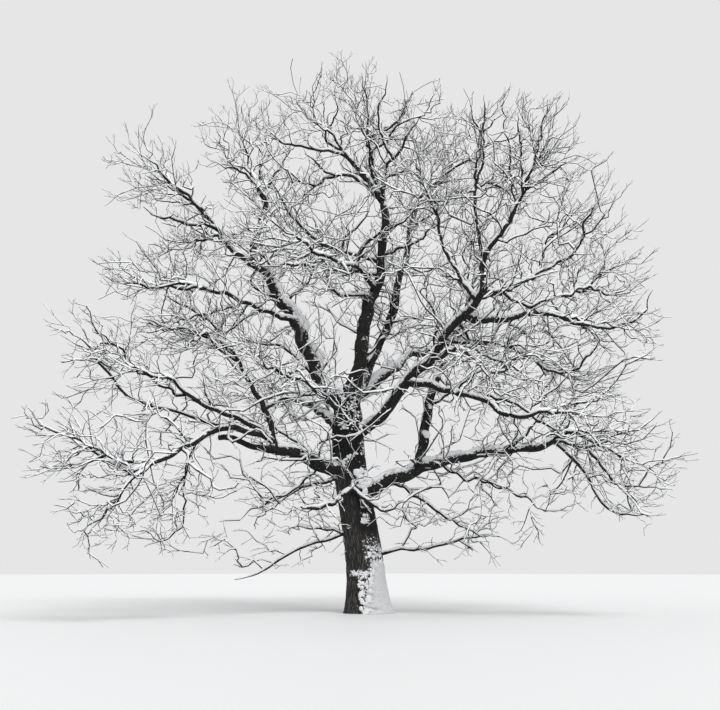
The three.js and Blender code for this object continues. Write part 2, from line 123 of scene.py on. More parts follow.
# The frame's boughs, as in the source.
BOUGHS: dict[str, BoughRow] = {
    "leader": BoughRow("trunk", 0.97, girth=480, end=200,
        bearing=15, reach=1150, rise=6750, arch=-220, hook=80),
    "leader_left": BoughRow("leader", 0.97, girth=215, end=105, bearing=200, reach=1500, rise=1700),
    "leader_top": BoughRow("leader", 0.96, girth=165, end=110,
        bearing=128, reach=600, rise=1750, arch=-80, sweep=90),
    "left_bough": BoughRow("trunk", 0.88, girth=540, end=150,
        bearing=161, reach=4550, rise=6250, arch=450, hook=-200),
    "left_top": BoughRow("left_bough", 0.97, girth=110, end=85, bearing=223, reach=1300, rise=1150, arch=80),
    "left_riser": BoughRow("left_bough", 0.8, girth=240, end=120,
        bearing=94, reach=1400, rise=3150, sweep=-180, weave=150),
    "left_mid": BoughRow("left_bough", 0.46, girth=150, end=85,
        bearing=223, reach=3700, rise=500, arch=90, hook=-50),
    "low_left_bough": BoughRow("trunk", 0.6, girth=420, end=270, bearing=203, reach=2600, rise=850, arch=120),
    "low_left_stub": BoughRow("low_left_bough", 0.96, girth=200, end=145,
        bearing=202, reach=1650, rise=250, hook=-60),
    "low_left_riser": BoughRow("low_left_bough", 0.94, girth=195, end=100,
        bearing=203, reach=1250, rise=2650, arch=180, hook=60),
    "low_left_outer": BoughRow("low_left_riser", 0.14, girth=150, end=85,
        bearing=216, reach=3100, rise=1100, arch=-70, hook=60),
    "low_left_droop": BoughRow("low_left_riser", 0.06, girth=185, end=110,
        bearing=228, reach=4430, rise=-1000, arch=600, hook=170, sweep=-170),
    "low_left_hanging": BoughRow("low_left_droop", 0.5, girth=80, end=60,
        bearing=233, reach=750, rise=-950, arch=150),
    "low_right_bough": BoughRow("trunk", 0.47, girth=390, end=130,
        bearing=-19, reach=6150, rise=1900, arch=420, hook=190),
    "right_riser": BoughRow("low_right_bough", 0.35, girth=300, end=150,
        bearing=64, reach=3900, rise=5600, arch=500),
    "right_bough": BoughRow("trunk", 0.76, girth=330, end=190,
        bearing=-32, reach=4700, rise=4300, arch=-110, hook=-20, sweep=90),
    "right_bough_upper": BoughRow("right_bough", 0.97, girth=172, end=95,
        bearing=-22, reach=1080, rise=2450, arch=250, hook=100),
    "right_top": BoughRow("right_bough_upper", 0.35, girth=110, end=85,
        bearing=93, reach=1000, rise=2800, sweep=130),
    "right_inner_riser": BoughRow("right_bough", 0.92, girth=125, end=85,
        bearing=133, reach=1380, rise=2650, arch=-160, sweep=100),
    "right_outer": BoughRow("right_bough", 0.82, girth=235, end=110,
        bearing=15, reach=3400, rise=150, arch=50, hook=-150),
    "right_outer_high": BoughRow("right_outer", 0.6, girth=120, end=85,
        bearing=36, reach=1850, rise=850, arch=180),
    "right_far_riser": BoughRow("right_bough", 0.95, girth=160, end=90,
        bearing=54, reach=4450, rise=2500, arch=-450, hook=100, sweep=-230),
    "right_sag": BoughRow("right_bough", 0.4, girth=175, end=90,
        bearing=-34, reach=4250, rise=-1100, arch=-50, hook=150),
    "right_mid": BoughRow("right_bough", 0.7, girth=155, end=85,
        bearing=24, reach=3200, rise=-450, arch=260, hook=-60),
    "back_stem": BoughRow("trunk", 0.96, girth=330, end=150,
        bearing=53, reach=4000, rise=7600, arch=-280, hook=-140, sweep=-170),
    "back_right": BoughRow("trunk", 0.93, girth=380, end=170,
        bearing=56, reach=5300, rise=2900, arch=250, sweep=80),
    "back_left": BoughRow("trunk", 0.78, girth=300, end=150, bearing=117, reach=4700, rise=2000, arch=300),
    "front_left": BoughRow("trunk", 0.86, girth=160, end=90, bearing=246, reach=3950, rise=800, arch=300),
    "front_upper": BoughRow("leader", 0.55, girth=140, end=85,
        bearing=243, reach=3400, rise=100, arch=200, hook=60),
    "front_right": BoughRow("right_bough", 0.58, girth=130, end=85,
        bearing=-67, reach=2800, rise=-700, arch=350, sweep=120),
}

# Slim limbs between the boughs, for which the source has no nodes left.
SIDE_LIMBS: dict[str, BoughRow] = {
    "leader_right": BoughRow("leader", 0.96, girth=110, end=70,
        bearing=-42, reach=1490, rise=2540, arch=280, hook=80, sweep=-90, weave=-30),
    "leader_right_high": BoughRow("leader_top", 0.96, girth=85, end=60,
        bearing=21, reach=1550, rise=2740, arch=150, hook=200, weave=40),
    "leader_shelf": BoughRow("leader_left", 0.79, girth=90, end=55,
        bearing=-163, reach=2680, rise=460, arch=-40, hook=80),
    "leader_arm": BoughRow("leader", 0.68, girth=115, end=60,
        bearing=-161, reach=3660, rise=2290, arch=-620, hook=40, sweep=-110),
    "leader_arm_low": BoughRow("leader", 0.49, girth=95, end=55,
        bearing=-136, reach=2310, rise=-320, arch=140, hook=-50),
    "left_far": BoughRow("left_top", 0.31, girth=100, end=55,
        bearing=-139, reach=2720, rise=130, arch=-100, hook=80, sweep=-50),
    "left_far_high": BoughRow("left_top", 0.53, girth=100, end=55,
        bearing=-136, reach=2720, rise=1480, arch=70),
    "left_fork_west": BoughRow("left_riser", 0.8, girth=95, end=60,
        bearing=-173, reach=1730, rise=1470, arch=320),
    "left_fork_north": BoughRow("left_riser", 0.96, girth=90, end=65,
        bearing=107, reach=1040, rise=2290, arch=100, hook=-60, sweep=-120, weave=80),
    "left_fork_east": BoughRow("left_riser", 0.94, girth=90, end=65,
        bearing=12, reach=1050, rise=1810, arch=-60),
    "left_mid_far": BoughRow("left_mid", 0.96, girth=85, end=50,
        bearing=-163, reach=2610, rise=140, arch=-110, hook=40),
    "riser_west": BoughRow("low_left_riser", 0.96, girth=85, end=50,
        bearing=-160, reach=2900, rise=1070, arch=220, hook=50),
    "riser_north": BoughRow("low_left_riser", 0.96, girth=75, end=55,
        bearing=175, reach=2300, rise=2080, arch=230, hook=-30),
    "riser_east": BoughRow("low_left_riser", 0.4, girth=85, end=50,
        bearing=10, reach=2060, rise=970, arch=-60, hook=140),
    "left_long": BoughRow("low_left_outer", 0.39, girth=85, end=50,
        bearing=-148, reach=4860, rise=1850, arch=-750, hook=-50, sweep=-230),
    "left_long_upper": BoughRow("low_left_outer", 0.77, girth=80, end=50,
        bearing=-161, reach=3030, rise=1910, arch=-210, hook=-40, sweep=-40),
    "droop_far": BoughRow("low_left_droop", 0.96, girth=80, end=45,
        bearing=-153, reach=2850, rise=-170, arch=120, hook=70, sweep=-70),
    "droop_high": BoughRow("low_left_droop", 0.96, girth=70, end=40,
        bearing=-160, reach=3200, rise=1320, arch=-350, hook=-80, sweep=-70),
    "droop_fall": BoughRow("low_left_droop", 0.96, girth=80, end=45,
        bearing=-144, reach=2000, rise=-1800, arch=-90, hook=100, sweep=-70, weave=-80),
    "hanging_end": BoughRow("low_left_hanging", 0.96, girth=55, end=35,
        bearing=-142, reach=1160, rise=-2230, arch=-450, hook=150, sweep=250, weave=-80),
    "right_high": BoughRow("right_bough_upper", 0.81, girth=85, end=55,
        bearing=13, reach=1410, rise=4000, arch=-160, sweep=-30),
    "right_high_left": BoughRow("right_top", 0.96, girth=75, end=50,
        bearing=141, reach=140, rise=2660, arch=240, hook=40, sweep=-180, weave=-30),
    "right_inner_far": BoughRow("right_inner_riser", 0.96, girth=75, end=50,
        bearing=142, reach=1160, rise=2700, arch=180, hook=50, sweep=-60),
    "right_shelf": BoughRow("right_bough", 0.96, girth=85, end=55,
        bearing=27, reach=5750, rise=1070, arch=-290, hook=-80),
    "right_shelf_riser": BoughRow("right_far_riser", 0.62, girth=90, end=60,
        bearing=15, reach=2560, rise=2920, arch=-370, hook=-90, sweep=-60),
    "right_outer_far": BoughRow("right_outer", 0.71, girth=95, end=55,
        bearing=12, reach=3820, rise=950, arch=-870, hook=170, sweep=-30),
    "right_mid_far": BoughRow("right_mid", 0.96, girth=80, end=50,
        bearing=6, reach=2330, rise=830, arch=-640, hook=-160, sweep=-50),
    "right_sag_low": BoughRow("right_sag", 0.34, girth=80, end=50,
        bearing=-26, reach=3250, rise=-1450, arch=310, sweep=60),
    "low_right_fall": BoughRow("low_right_bough", 0.96, girth=90, end=50,
        bearing=-20, reach=2550, rise=-2160, arch=-400, hook=230, sweep=-40, weave=60),
    "low_right_far": BoughRow("low_right_bough", 0.96, girth=85, end=50,
        bearing=-5, reach=2910, rise=-1420, arch=-150, hook=250),
    "low_right_rise": BoughRow("low_right_bough", 0.96, girth=80, end=50,
        bearing=11, reach=2710, rise=340, arch=-230, hook=-90),
    "inner_right_fork": BoughRow("back_stem", 0.93, girth=100, end=65,
        bearing=11, reach=2450, rise=2490, arch=390, hook=50, sweep=60),
    "inner_thin": BoughRow("leader", 0.2, girth=80, end=60,
        bearing=39, reach=1160, rise=2580, arch=-430, sweep=-320),
    "left_inner": BoughRow("left_bough", 0.22, girth=85, end=50,
        bearing=176, reach=2560, rise=1260, arch=290),
    "left_inner_high": BoughRow("left_bough", 0.55, girth=90, end=55,
        bearing=41, reach=1410, rise=2570, arch=-190, hook=30, sweep=-90, weave=40),
    "riser_right_shoot": BoughRow("right_riser", 0.29, girth=80, end=50,
        bearing=19, reach=2490, rise=1490, arch=130, hook=-80),
    "right_bough_shoot": BoughRow("right_bough", 0.6, girth=75, end=50,
        bearing=90, reach=460, rise=2740, weave=-120),
    "trunk_front_left": BoughRow("trunk", 0.63, girth=155, end=77,
        bearing=-127, reach=2370, rise=-1130, arch=-370, sweep=270, weave=170),
    "trunk_front_right": BoughRow("trunk", 0.63, girth=110, end=60,
        bearing=-44, reach=2160, rise=-940, arch=-480, hook=100, sweep=-290, weave=-170),
    "trunk_loop": BoughRow("trunk", 0.86, girth=80, end=45,
        bearing=-122, reach=1520, rise=-930, hook=-70, sweep=450, weave=400),
    "trunk_left_high": BoughRow("trunk", 0.61, girth=105, end=69,
        bearing=-163, reach=2100, rise=-610, arch=110),
    "trunk_left_mid": BoughRow("trunk", 0.36, girth=70, end=45, bearing=-172, reach=2110, rise=110, hook=-50),
    "trunk_left_low": BoughRow("trunk", 0.37, girth=85, end=45,
        bearing=-166, reach=3710, rise=-1440, arch=80, hook=60),
    "trunk_right_low": BoughRow("trunk", 0.23, girth=85, end=45, bearing=-9, reach=4010, rise=680, arch=110),
    "crotch_shoot": BoughRow("low_right_bough", 0.16, girth=80, end=45,
        bearing=-16, reach=3270, rise=-1530, arch=-60, hook=130),
    "low_right_top": BoughRow("low_right_bough", 0.58, girth=80, end=45,
        bearing=-36, reach=2480, rise=1310, arch=-400, sweep=160),
    "low_right_under": BoughRow("low_right_bough", 0.44, girth=70, end=45,
        bearing=-26, reach=3130, rise=-1520, arch=60, hook=-90, sweep=50),
    "low_left_under": BoughRow("low_left_bough", 0.41, girth=70, end=45,
        bearing=-151, reach=2510, rise=-1720, arch=-130, hook=-100),
    "low_left_top": BoughRow("low_left_bough", 0.64, girth=70, end=50,
        bearing=137, reach=1810, rise=1890, arch=-120, hook=80, sweep=50, weave=-60),
    "top_stem": BoughRow("leader", 0.96, girth=110, end=40,
        bearing=120, reach=1390, rise=5160, arch=70, sweep=210, weave=110),
    "top_stem_fork": BoughRow("top_stem", 0.48, girth=85, end=36,
        bearing=-13, reach=1390, rise=1290, arch=-280, sweep=40),
    "top_right_stem": BoughRow("leader_right", 0.49, girth=85, end=36,
        bearing=121, reach=340, rise=3120, arch=-170, hook=-30, sweep=310, weave=60),
    "top_left_fork": BoughRow("leader_left", 0.96, girth=75, end=34,
        bearing=-129, reach=520, rise=1700, arch=-50, hook=-140, sweep=-230, weave=-240),
    "leader_west": BoughRow("leader", 0.96, girth=115, end=45,
        bearing=-155, reach=3320, rise=380, arch=410, hook=250, sweep=-60),
    "leader_west_fork": BoughRow("leader_west", 0.51, girth=75, end=34,
        bearing=-128, reach=1590, rise=510, arch=-60, sweep=-60),
    "leader_east": BoughRow("leader", 0.96, girth=90, end=38,
        bearing=-37, reach=1340, rise=1270, arch=350, hook=180, sweep=-70, weave=-50),
    "elbow": BoughRow("leader", 0.61, girth=115, end=42,
        bearing=-151, reach=4060, rise=-310, arch=200, sweep=-110, weave=-40),
    "elbow_fork": BoughRow("elbow", 0.27, girth=90, end=38,
        bearing=-36, reach=2760, rise=1600, arch=160, hook=140, sweep=-40, weave=-50),
    "arm_fork": BoughRow("leader_arm", 0.29, girth=70, end=32,
        bearing=-58, reach=1800, rise=950, arch=80, hook=90, weave=-60),
    "leader_low_east": BoughRow("leader", 0.71, girth=90, end=38,
        bearing=-23, reach=1980, rise=1150, arch=-260, hook=60, sweep=100),
    "back_fork": BoughRow("back_stem", 0.84, girth=90, end=40,
        bearing=27, reach=1220, rise=1580, arch=-120, hook=30, sweep=-50),
    "bough_riser": BoughRow("left_bough", 0.61, girth=85, end=36,
        bearing=-168, reach=760, rise=1900, arch=-430, hook=-290, sweep=-80, weave=-50),
    "left_mid_under": BoughRow("left_mid", 0.36, girth=80, end=36,
        bearing=-147, reach=1610, rise=-1100, arch=60, hook=40, sweep=-30),
    "left_mid_inner": BoughRow("left_mid", 0.58, girth=80, end=36,
        bearing=-145, reach=2300, rise=-1200, arch=70, hook=-90, sweep=-80),
    "right_mid_under": BoughRow("right_bough", 0.7, girth=80, end=34,
        bearing=-25, reach=2080, rise=-1270, arch=180, hook=-50, sweep=110),
    "right_mid_inner": BoughRow("right_bough", 0.79, girth=75, end=36,
        bearing=-2, reach=2320, rise=-1000, arch=-180, hook=-150),
    "right_inner_shoot": BoughRow("right_bough", 0.84, girth=75, end=36,
        bearing=79, reach=1290, rise=2760, arch=-40, sweep=-40, weave=-70),
    "right_top_prong": BoughRow("right_high_left", 0.6, girth=75, end=45,
        bearing=-53, reach=190, rise=1290, arch=-40, sweep=50),
    "right_top_east": BoughRow("right_high_left", 0.58, girth=70, end=45,
        bearing=29, reach=920, rise=1030, arch=60, sweep=30),
    "right_top_shoot": BoughRow("right_top", 0.89, girth=65, end=45,
        bearing=18, reach=840, rise=740, arch=-60, hook=-40, sweep=-40),
    "right_fork_west": BoughRow("right_high", 0.24, girth=75, end=45,
        bearing=81, reach=850, rise=2970),
    "right_fork_mid": BoughRow("right_high", 0.08, girth=70, end=45,
        bearing=87, reach=1600, rise=3320, sweep=-110),
    "right_fork_east": BoughRow("right_high", 0.43, girth=70, end=45,
        bearing=-21, reach=880, rise=500, arch=140, hook=30),
    "right_fork_far": BoughRow("right_high", 0.27, girth=75, end=45,
        bearing=-13, reach=1580, rise=800, arch=40, hook=-40),
    "right_fork_cross": BoughRow("right_top", 0.96, girth=65, end=45,
        bearing=26, reach=1600, rise=-410, arch=200, hook=30, sweep=-70),
}

# The frame's masses of twigs, as in the source.
MASSES: dict[str, MassRow] = {
    "crown_top": MassRow("leader_top", middle=(-400, 800, 16300), half=(1300, 1900, 1750), twin=-1),
    "crown_top_right": MassRow("leader_top", middle=(1500, 400, 15800), half=(1500, 1900, 1500), twin=1),
    "crown_top_left": MassRow("leader_left", middle=(-2000, -700, 15600), half=(1300, 1800, 1600)),
    "upper_left": MassRow("left_riser", middle=(-4300, 2800, 15900), half=(1800, 2200, 2000)),
    "left_high": MassRow("left_top", middle=(-6900, -100, 13500), half=(1700, 1900, 1500)),
    "left_shoulder": MassRow("left_bough", middle=(-6000, 1600, 11900), half=(1700, 2100, 1300)),
    "left_middle": MassRow("left_mid", middle=(-6500, -2100, 9500), half=(1700, 1900, 1100)),
    "left_upper_reach": MassRow("low_left_riser", middle=(-5300, -1900, 8000), half=(1800, 1900, 1150)),
    "left_reach": MassRow("low_left_outer", middle=(-6700, -3600, 6700), half=(1500, 1700, 1100)),
    "left_low": MassRow("low_left_droop", middle=(-7100, -5000, 4200), half=(1700, 1600, 1050), twin=1),
    "left_fall": MassRow("low_left_droop", middle=(-6500, -4900, 2600), half=(900, 1100, 750), twin=-1),
    "left_hanging": MassRow("low_left_hanging", middle=(-5200, -3600, 3000), half=(850, 1100, 1200)),
    "front_left_mass": MassRow("front_left", middle=(-2800, -5200, 6600), half=(1700, 1900, 1200)),
    "front_upper_mass": MassRow("front_upper", middle=(-2200, -4600, 10200), half=(2000, 2200, 1800)),
    "front_right_mass": MassRow("front_right", middle=(3500, -5600, 6300), half=(1800, 2000, 1300)),
    "back_top": MassRow("back_stem", middle=(2600, 4500, 15700), half=(2100, 2400, 2100)),
    "back_right_mass": MassRow("back_right", middle=(3300, 6300, 9800), half=(2300, 2200, 2100)),
    "right_riser_mass": MassRow("right_riser", middle=(4300, 3400, 11600), half=(1900, 1800, 1900)),
    "back_left_mass": MassRow("back_left", middle=(-3300, 5900, 7700), half=(2400, 2400, 2200)),
    "right_crown": MassRow("right_bough_upper", middle=(4900, -3000, 13100), half=(1600, 2000, 1700)),
    "right_top_mass": MassRow("right_top", middle=(3500, -1200, 14400), half=(1400, 1800, 1700)),
    "right_inner": MassRow("right_inner_riser", middle=(1700, -1500, 12900), half=(1500, 1800, 1600)),
    "right_far": MassRow("right_far_riser", middle=(6900, 2000, 12900), half=(1700, 2100, 1700)),
    "right_shoulder": MassRow("right_outer_high", middle=(7500, 0, 10600), half=(1600, 2000, 1600)),
    "right_low_shoulder": MassRow("right_outer", middle=(7400, -1000, 8400), half=(1400, 1800, 1100)),
    "right_middle": MassRow("right_mid", middle=(6500, 200, 7000), half=(1700, 1900, 1100)),
    "right_low": MassRow("right_sag", middle=(5600, -4200, 5200), half=(1400, 1700, 1000)),
    "low_right": MassRow("low_right_bough", middle=(7100, -2600, 4200), half=(1700, 1800, 1600)),
}

STUB = "low_left_stub"
# How much of its snow a limb keeps, where the photograph shows it barer than the others.
SNOW_LEFT = {
    STUB: 0.5, "low_left_bough": 0.55, "low_left_droop": 0.5, "low_left_hanging": 0.4,
    "low_left_riser": 0.6, "low_left_outer": 0.6, "left_long": 0.6, "left_long_upper": 0.6,
    "front_left": 0.5, "left_mid": 0.75, "right_sag": 0.8}
TWIG_TINTS = ((0.011, 0.0106, 0.0102), (0.019, 0.018, 0.0175), (0.034, 0.0325, 0.031))
CROWN_MIDDLE = np.array([0.0, 0.0, 7.5])
EYE = np.array([-0.206, -29.7, 1.5])
# Openings seen in the crown, in the upright plane through the trunk's foot: across, height and radius.
SKY_GAPS = np.array([
    (-5.15, 13.5, 0.42), (-7.0, 11.85, 0.5), (-1.27, 16.0, 0.3), (1.9, 15.7, 0.35),
    (4.34, 15.3, 0.35), (-2.54, 17.36, 0.9), (1.3, 17.3, 0.95), (3.4, 17.0, 0.95),
    (7.5, 15.3, 0.6), (-10.3, 7.2, 0.85), (-8.3, 9.5, 0.5)])

# Seeds, and the steps between them.
MASS_SEED, MASS_SEED_STEP = 101, 37
LIMB_SEED, RIDGE_SEED, CLUSTER_SEED = 500, 900, 300
SWELL_SEED, PATCHY_SEED = 60, 40
RAGGED_SEEDS = (7, 9)
DRIFT_SEEDS = (71, 72)
FIRST_SHOOTS_SEED, SECOND_SHOOTS_SEED, TWIG_SNOW_SEED, SHOOT_SNOW_SEED = 20, 40, 60, 80
LUMP_SEED_STEP = 97

# Curves of the limbs, and how they are measured.
WAY_STEP = 0.001
LENGTH_STEPS = 201
COLLAR = 0.25
TIP_LENGTH = 0.9
TAPER_POWER = 0.8
BOUGH_CROOK, SIDE_CROOK, SIDE_TIP = 0.0085, 0.014, 0.4
CROOK_WAVES = np.array([3.0, 4, 6, 9, 13, 18])
CROOK_FADE = 0.8
TWIG_WAVES = np.array([2.0, 3, 5])
TWIG_WAVE_SHARES = np.array([1.0, 0.75, 0.45])
LEAST_WAVE, WAVE_FADE, WAVE_HEIGHT = 0.4, 0.25, 1.6
LAST_PHASE = 6
TRUNK_PLATE = 0.055
BOUGH_PLATE = 0.04
STOUT_GIRTH_MM = 260
GRAIN_STRETCH = 0.14
NEARLY_ALONG = 0.9

# The source's rule for the masses.
STEM_GAP = 0.0003
STEM_SHARE = 0.78
TWIN_STEM_SHARE = 0.4
STEM_LEAD = 0.4
STEM_BUDS = (0.3, 0.45, 0.55, 0.66, 0.75, 0.88)
TWIG_BUDS = (0.3, 0.5, 0.75)
FAR_TWIGS = 7
INNER_TWIGS = 1
FAR_SHARE = 0.98
BACKWARD = -0.45
TWIG_SHARE = 0.62
TIP_SHARE = 0.4
THINNEST = 0.009
DETOUR = 0.35
TURN = 0.5
LEAVE_ALONG = 0.55
LEAVE_LEAD = 0.5
SAG = 0.07
CLEARANCE = 0.045
APART = 0.05
OBSTACLE_STEPS = 12
CLEAR_STEPS = 8
GOLDEN = math.pi * (3 - math.sqrt(5))

# The finer twigs that are grown on from it.
MASS_ROOM, SPRAY_ROOM = 2400, 1600
SPRAYS_A_MASS, SPRAYS_A_LIMB, SPRAYS_OF_LIMBS = 40, 60, 2000
MASS_DEPTH, LEAST_DEPTH = 0.55, 0.02
MIDDLING_SPACE, SPACE_POWER = 4.5, 0.55
TURN_BACK = 4.0
SHARPEST_TURN = 0.3
FRAME_CROOK = 0.035
FINEST_SHARE, LOAD_POWER, FORK_SHARE = 1.05, 0.56, 0.92
TUBE_SIDES = 3
TINT_STEP, TINT_SHIFT = 7, 5


def unit(vectors: Array) -> Array:
    """Vectors of length one along the last axis."""
    return vectors / np.maximum(np.linalg.norm(vectors, axis=-1, keepdims=True), TINY)


def ease(low: float, high: float, value: Array) -> Array:
    """A smooth step from 0 at low to 1 at high."""
    share = np.clip((value - low) / (high - low), 0, 1)
    return share * share * (3 - 2 * share)


def blend(start: Array, end: Array, share: Array) -> Array:
    """The value at that share of the way from start to end."""
    return start + (end - start) * share


def waver(runs: Array, seed: int, slowest: float, fastest: float, count: int = 9) -> Array:
    """Seeded ups and downs along a line, about 1 high, with waves of so many radians a metre."""
    chance = np.random.default_rng(seed)
    pace, start = np.geomspace(slowest, fastest, count), chance.uniform(0, 2 * np.pi, count)
    weight = chance.uniform(LEAST_WAVE, 1, count) * (slowest / pace) ** WAVE_FADE
    return np.sin(np.asarray(runs)[..., None] * pace + start) @ weight * WAVE_HEIGHT / weight.sum()


def level_ways(angle: Array) -> Array:
    """The level way out at each angle from +X."""
    return np.stack([np.cos(angle), np.sin(angle), np.zeros_like(angle)], -1)


def off_bearing(angle: Array, bearing: float) -> Array:
    """How many degrees each angle lies off a bearing."""
    return np.abs((np.degrees(angle) - bearing + 180) % 360 - 180)


def stretches(holds: Array, least: int = 3) -> list[tuple[int, int]]:
    """Where each stretch of at least so many places that hold starts and stops."""
    edges = np.flatnonzero(np.diff(np.concatenate([[False], holds, [False]]).astype(int)))
    return [(start, stop) for start, stop in edges.reshape(-1, 2) if stop - start >= least]


def ways(curve: Callable[[Array], Array], share: Array) -> Array:
    """The way that a curve runs, at shares of the way along."""
    share = np.asarray(share, float)
    return unit(curve(np.minimum(share + WAY_STEP, 1)) - curve(np.maximum(share - WAY_STEP, 0)))


class Signal:
    """A socket that gives a number, with the arithmetic that finishes and recipes use."""

    def __init__(self, sheet: "NodeSheet", socket: bpy.types.NodeSocket) -> None:
        """Keeps the sheet that the socket is on."""
        self.sheet = sheet
        self.socket = socket

    def _math(self, operation: str, *values: Any) -> "Signal":
        """Adds a Math node of that operation on these values."""
        return self.sheet.signal("ShaderNodeMath", {"operation": operation}, dict(enumerate(values)))

    def __add__(self, other: Any) -> "Signal":
        """Sum."""
        return self._math("ADD", self, other)

    def __sub__(self, other: Any) -> "Signal":
        """Difference."""
        return self._math("SUBTRACT", self, other)

    def __rsub__(self, other: Any) -> "Signal":
        """Difference, with the signal taken away."""
        return self._math("SUBTRACT", other, self)

    def __mul__(self, other: Any) -> "Signal":
        """Product."""
        return self._math("MULTIPLY", self, other)

    __radd__ = __add__
    __rmul__ = __mul__

    def eased(self, low: float, high: float) -> "Signal":
        """A smooth step of this signal from 0 at low to 1 at high."""
        sockets = {"Value": self, "From Min": low, "From Max": high}
        return self.sheet.signal("ShaderNodeMapRange", {"interpolation_type": "SMOOTHSTEP"}, sockets)


class NodeSheet:
    """A node tree, of a finish or of a recipe, on which nodes are laid."""

    plate_warp_scale, plate_warp_reach = 0.6, 0.9

    def __init__(self, tree: bpy.types.NodeTree) -> None:
        """Keeps the tree."""
        self.tree = tree

    def node(self, kind: str, settings: dict[str, Any] | None = None,
             sockets: dict[str | int, Any] | None = None) -> bpy.types.Node:
        """Lays a node.

        Args:
            kind: the node's type.
            settings: its properties, which are set first.
            sockets: a value or a link for each of its sockets, by name or by place.

        Returns:
            The node.
        """
        node = self.tree.nodes.new(kind)
        for name, value in (settings or {}).items():
            setattr(node, name, value)
        for key, value in (sockets or {}).items():
            source = value.socket if isinstance(value, Signal) else value
            if isinstance(source, bpy.types.NodeSocket):
                self.tree.links.new(source, node.inputs[key])
            else:
                node.inputs[key].default_value = source
        return node

    def signal(self, kind: str, settings: dict[str, Any] | None = None,
               sockets: dict[str | int, Any] | None = None, output: str | int = 0) -> Signal:
        """Lays a node and gives one of its outputs as a signal."""
        return Signal(self, self.node(kind, settings, sockets).outputs[output])

    def scaled(self, vector: Signal, scale: float) -> Signal:
        """A vector times a number."""
        return self.signal("ShaderNodeVectorMath", {"operation": "SCALE"}, {"Vector": vector, "Scale": scale})

    def noise(self, vector: Signal, scale: float, detail: float = 3, roughness: float = 0.55) -> Signal:
        """Soft noise about one half, at so many lumps a metre."""
        sockets = {"Vector": vector, "Scale": scale, "Detail": detail, "Roughness": roughness}
        return self.signal("ShaderNodeTexNoise", {}, sockets)

    def plates(self, grain: Signal, width: float) -> Signal:
        """Bark plates: 0 in the furrows between them and rising towards each plate's middle."""
        warp = self.signal("ShaderNodeTexNoise", {}, {
            "Vector": grain, "Scale": self.plate_warp_scale / width, "Detail": 2}, "Color")
        warped = self.signal("ShaderNodeVectorMath", {"operation": "MULTIPLY_ADD"},
                             {0: warp, 1: (width * self.plate_warp_reach,) * 3, 2: grain})
        return self.signal("ShaderNodeTexVoronoi", {"feature": "DISTANCE_TO_EDGE"},
                           {"Vector": warped, "Scale": 1 / width}, "Distance")


class FinishSheet(NodeSheet):
    """The node tree of a new material, with a Principled shader that ends it."""

    def __init__(self, name: str) -> None:
        """Starts the material."""
        self.material = bpy.data.materials.new(name)
        self.material.use_nodes = True
        super().__init__(self.material.node_tree)
        self.shader = self.tree.nodes["Principled BSDF"]

    def place(self) -> Signal:
        """Object coordinates."""
        return self.signal("ShaderNodeTexCoord", output="Object")

    def carried(self, name: str, output: str = "Fac") -> Signal:
        """A value that the mesh carries."""
        return self.signal("ShaderNodeAttribute", {"attribute_name": name}, output=output)

    def mixed(self, share: Signal, first: Any, second: Any) -> Signal:
        """A colour between two, by share."""
        pair = {"A": first, "B": second}
        mix = self.node("ShaderNodeMix", {"data_type": "RGBA"}, {"Factor": share})
        for socket in mix.inputs:
            if socket.type == "RGBA" and socket.name in pair:
                value = pair[socket.name]
                if isinstance(value, Signal):
                    self.tree.links.new(value.socket, socket)
                else:
                    socket.default_value = (*value, 1)
        return Signal(self, next(s for s in mix.outputs if s.type == "RGBA"))

    def bumped(self, height: Signal, distance: float, strength: float = 1) -> None:
        """Bumps the surface by a height."""
        sockets = {"Height": height, "Distance": distance, "Strength": strength}
        self.dress(Normal=self.signal("ShaderNodeBump", {}, sockets))

    def dress(self, **sockets: Any) -> None:
        """Sets or links the shader's sockets, with a _ in a name for its space."""
        for key, value in sockets.items():
            socket = self.shader.inputs[key.replace("_", " ")]
            if isinstance(value, Signal):
                self.tree.links.new(value.socket, socket)
            else:
                socket.default_value = value


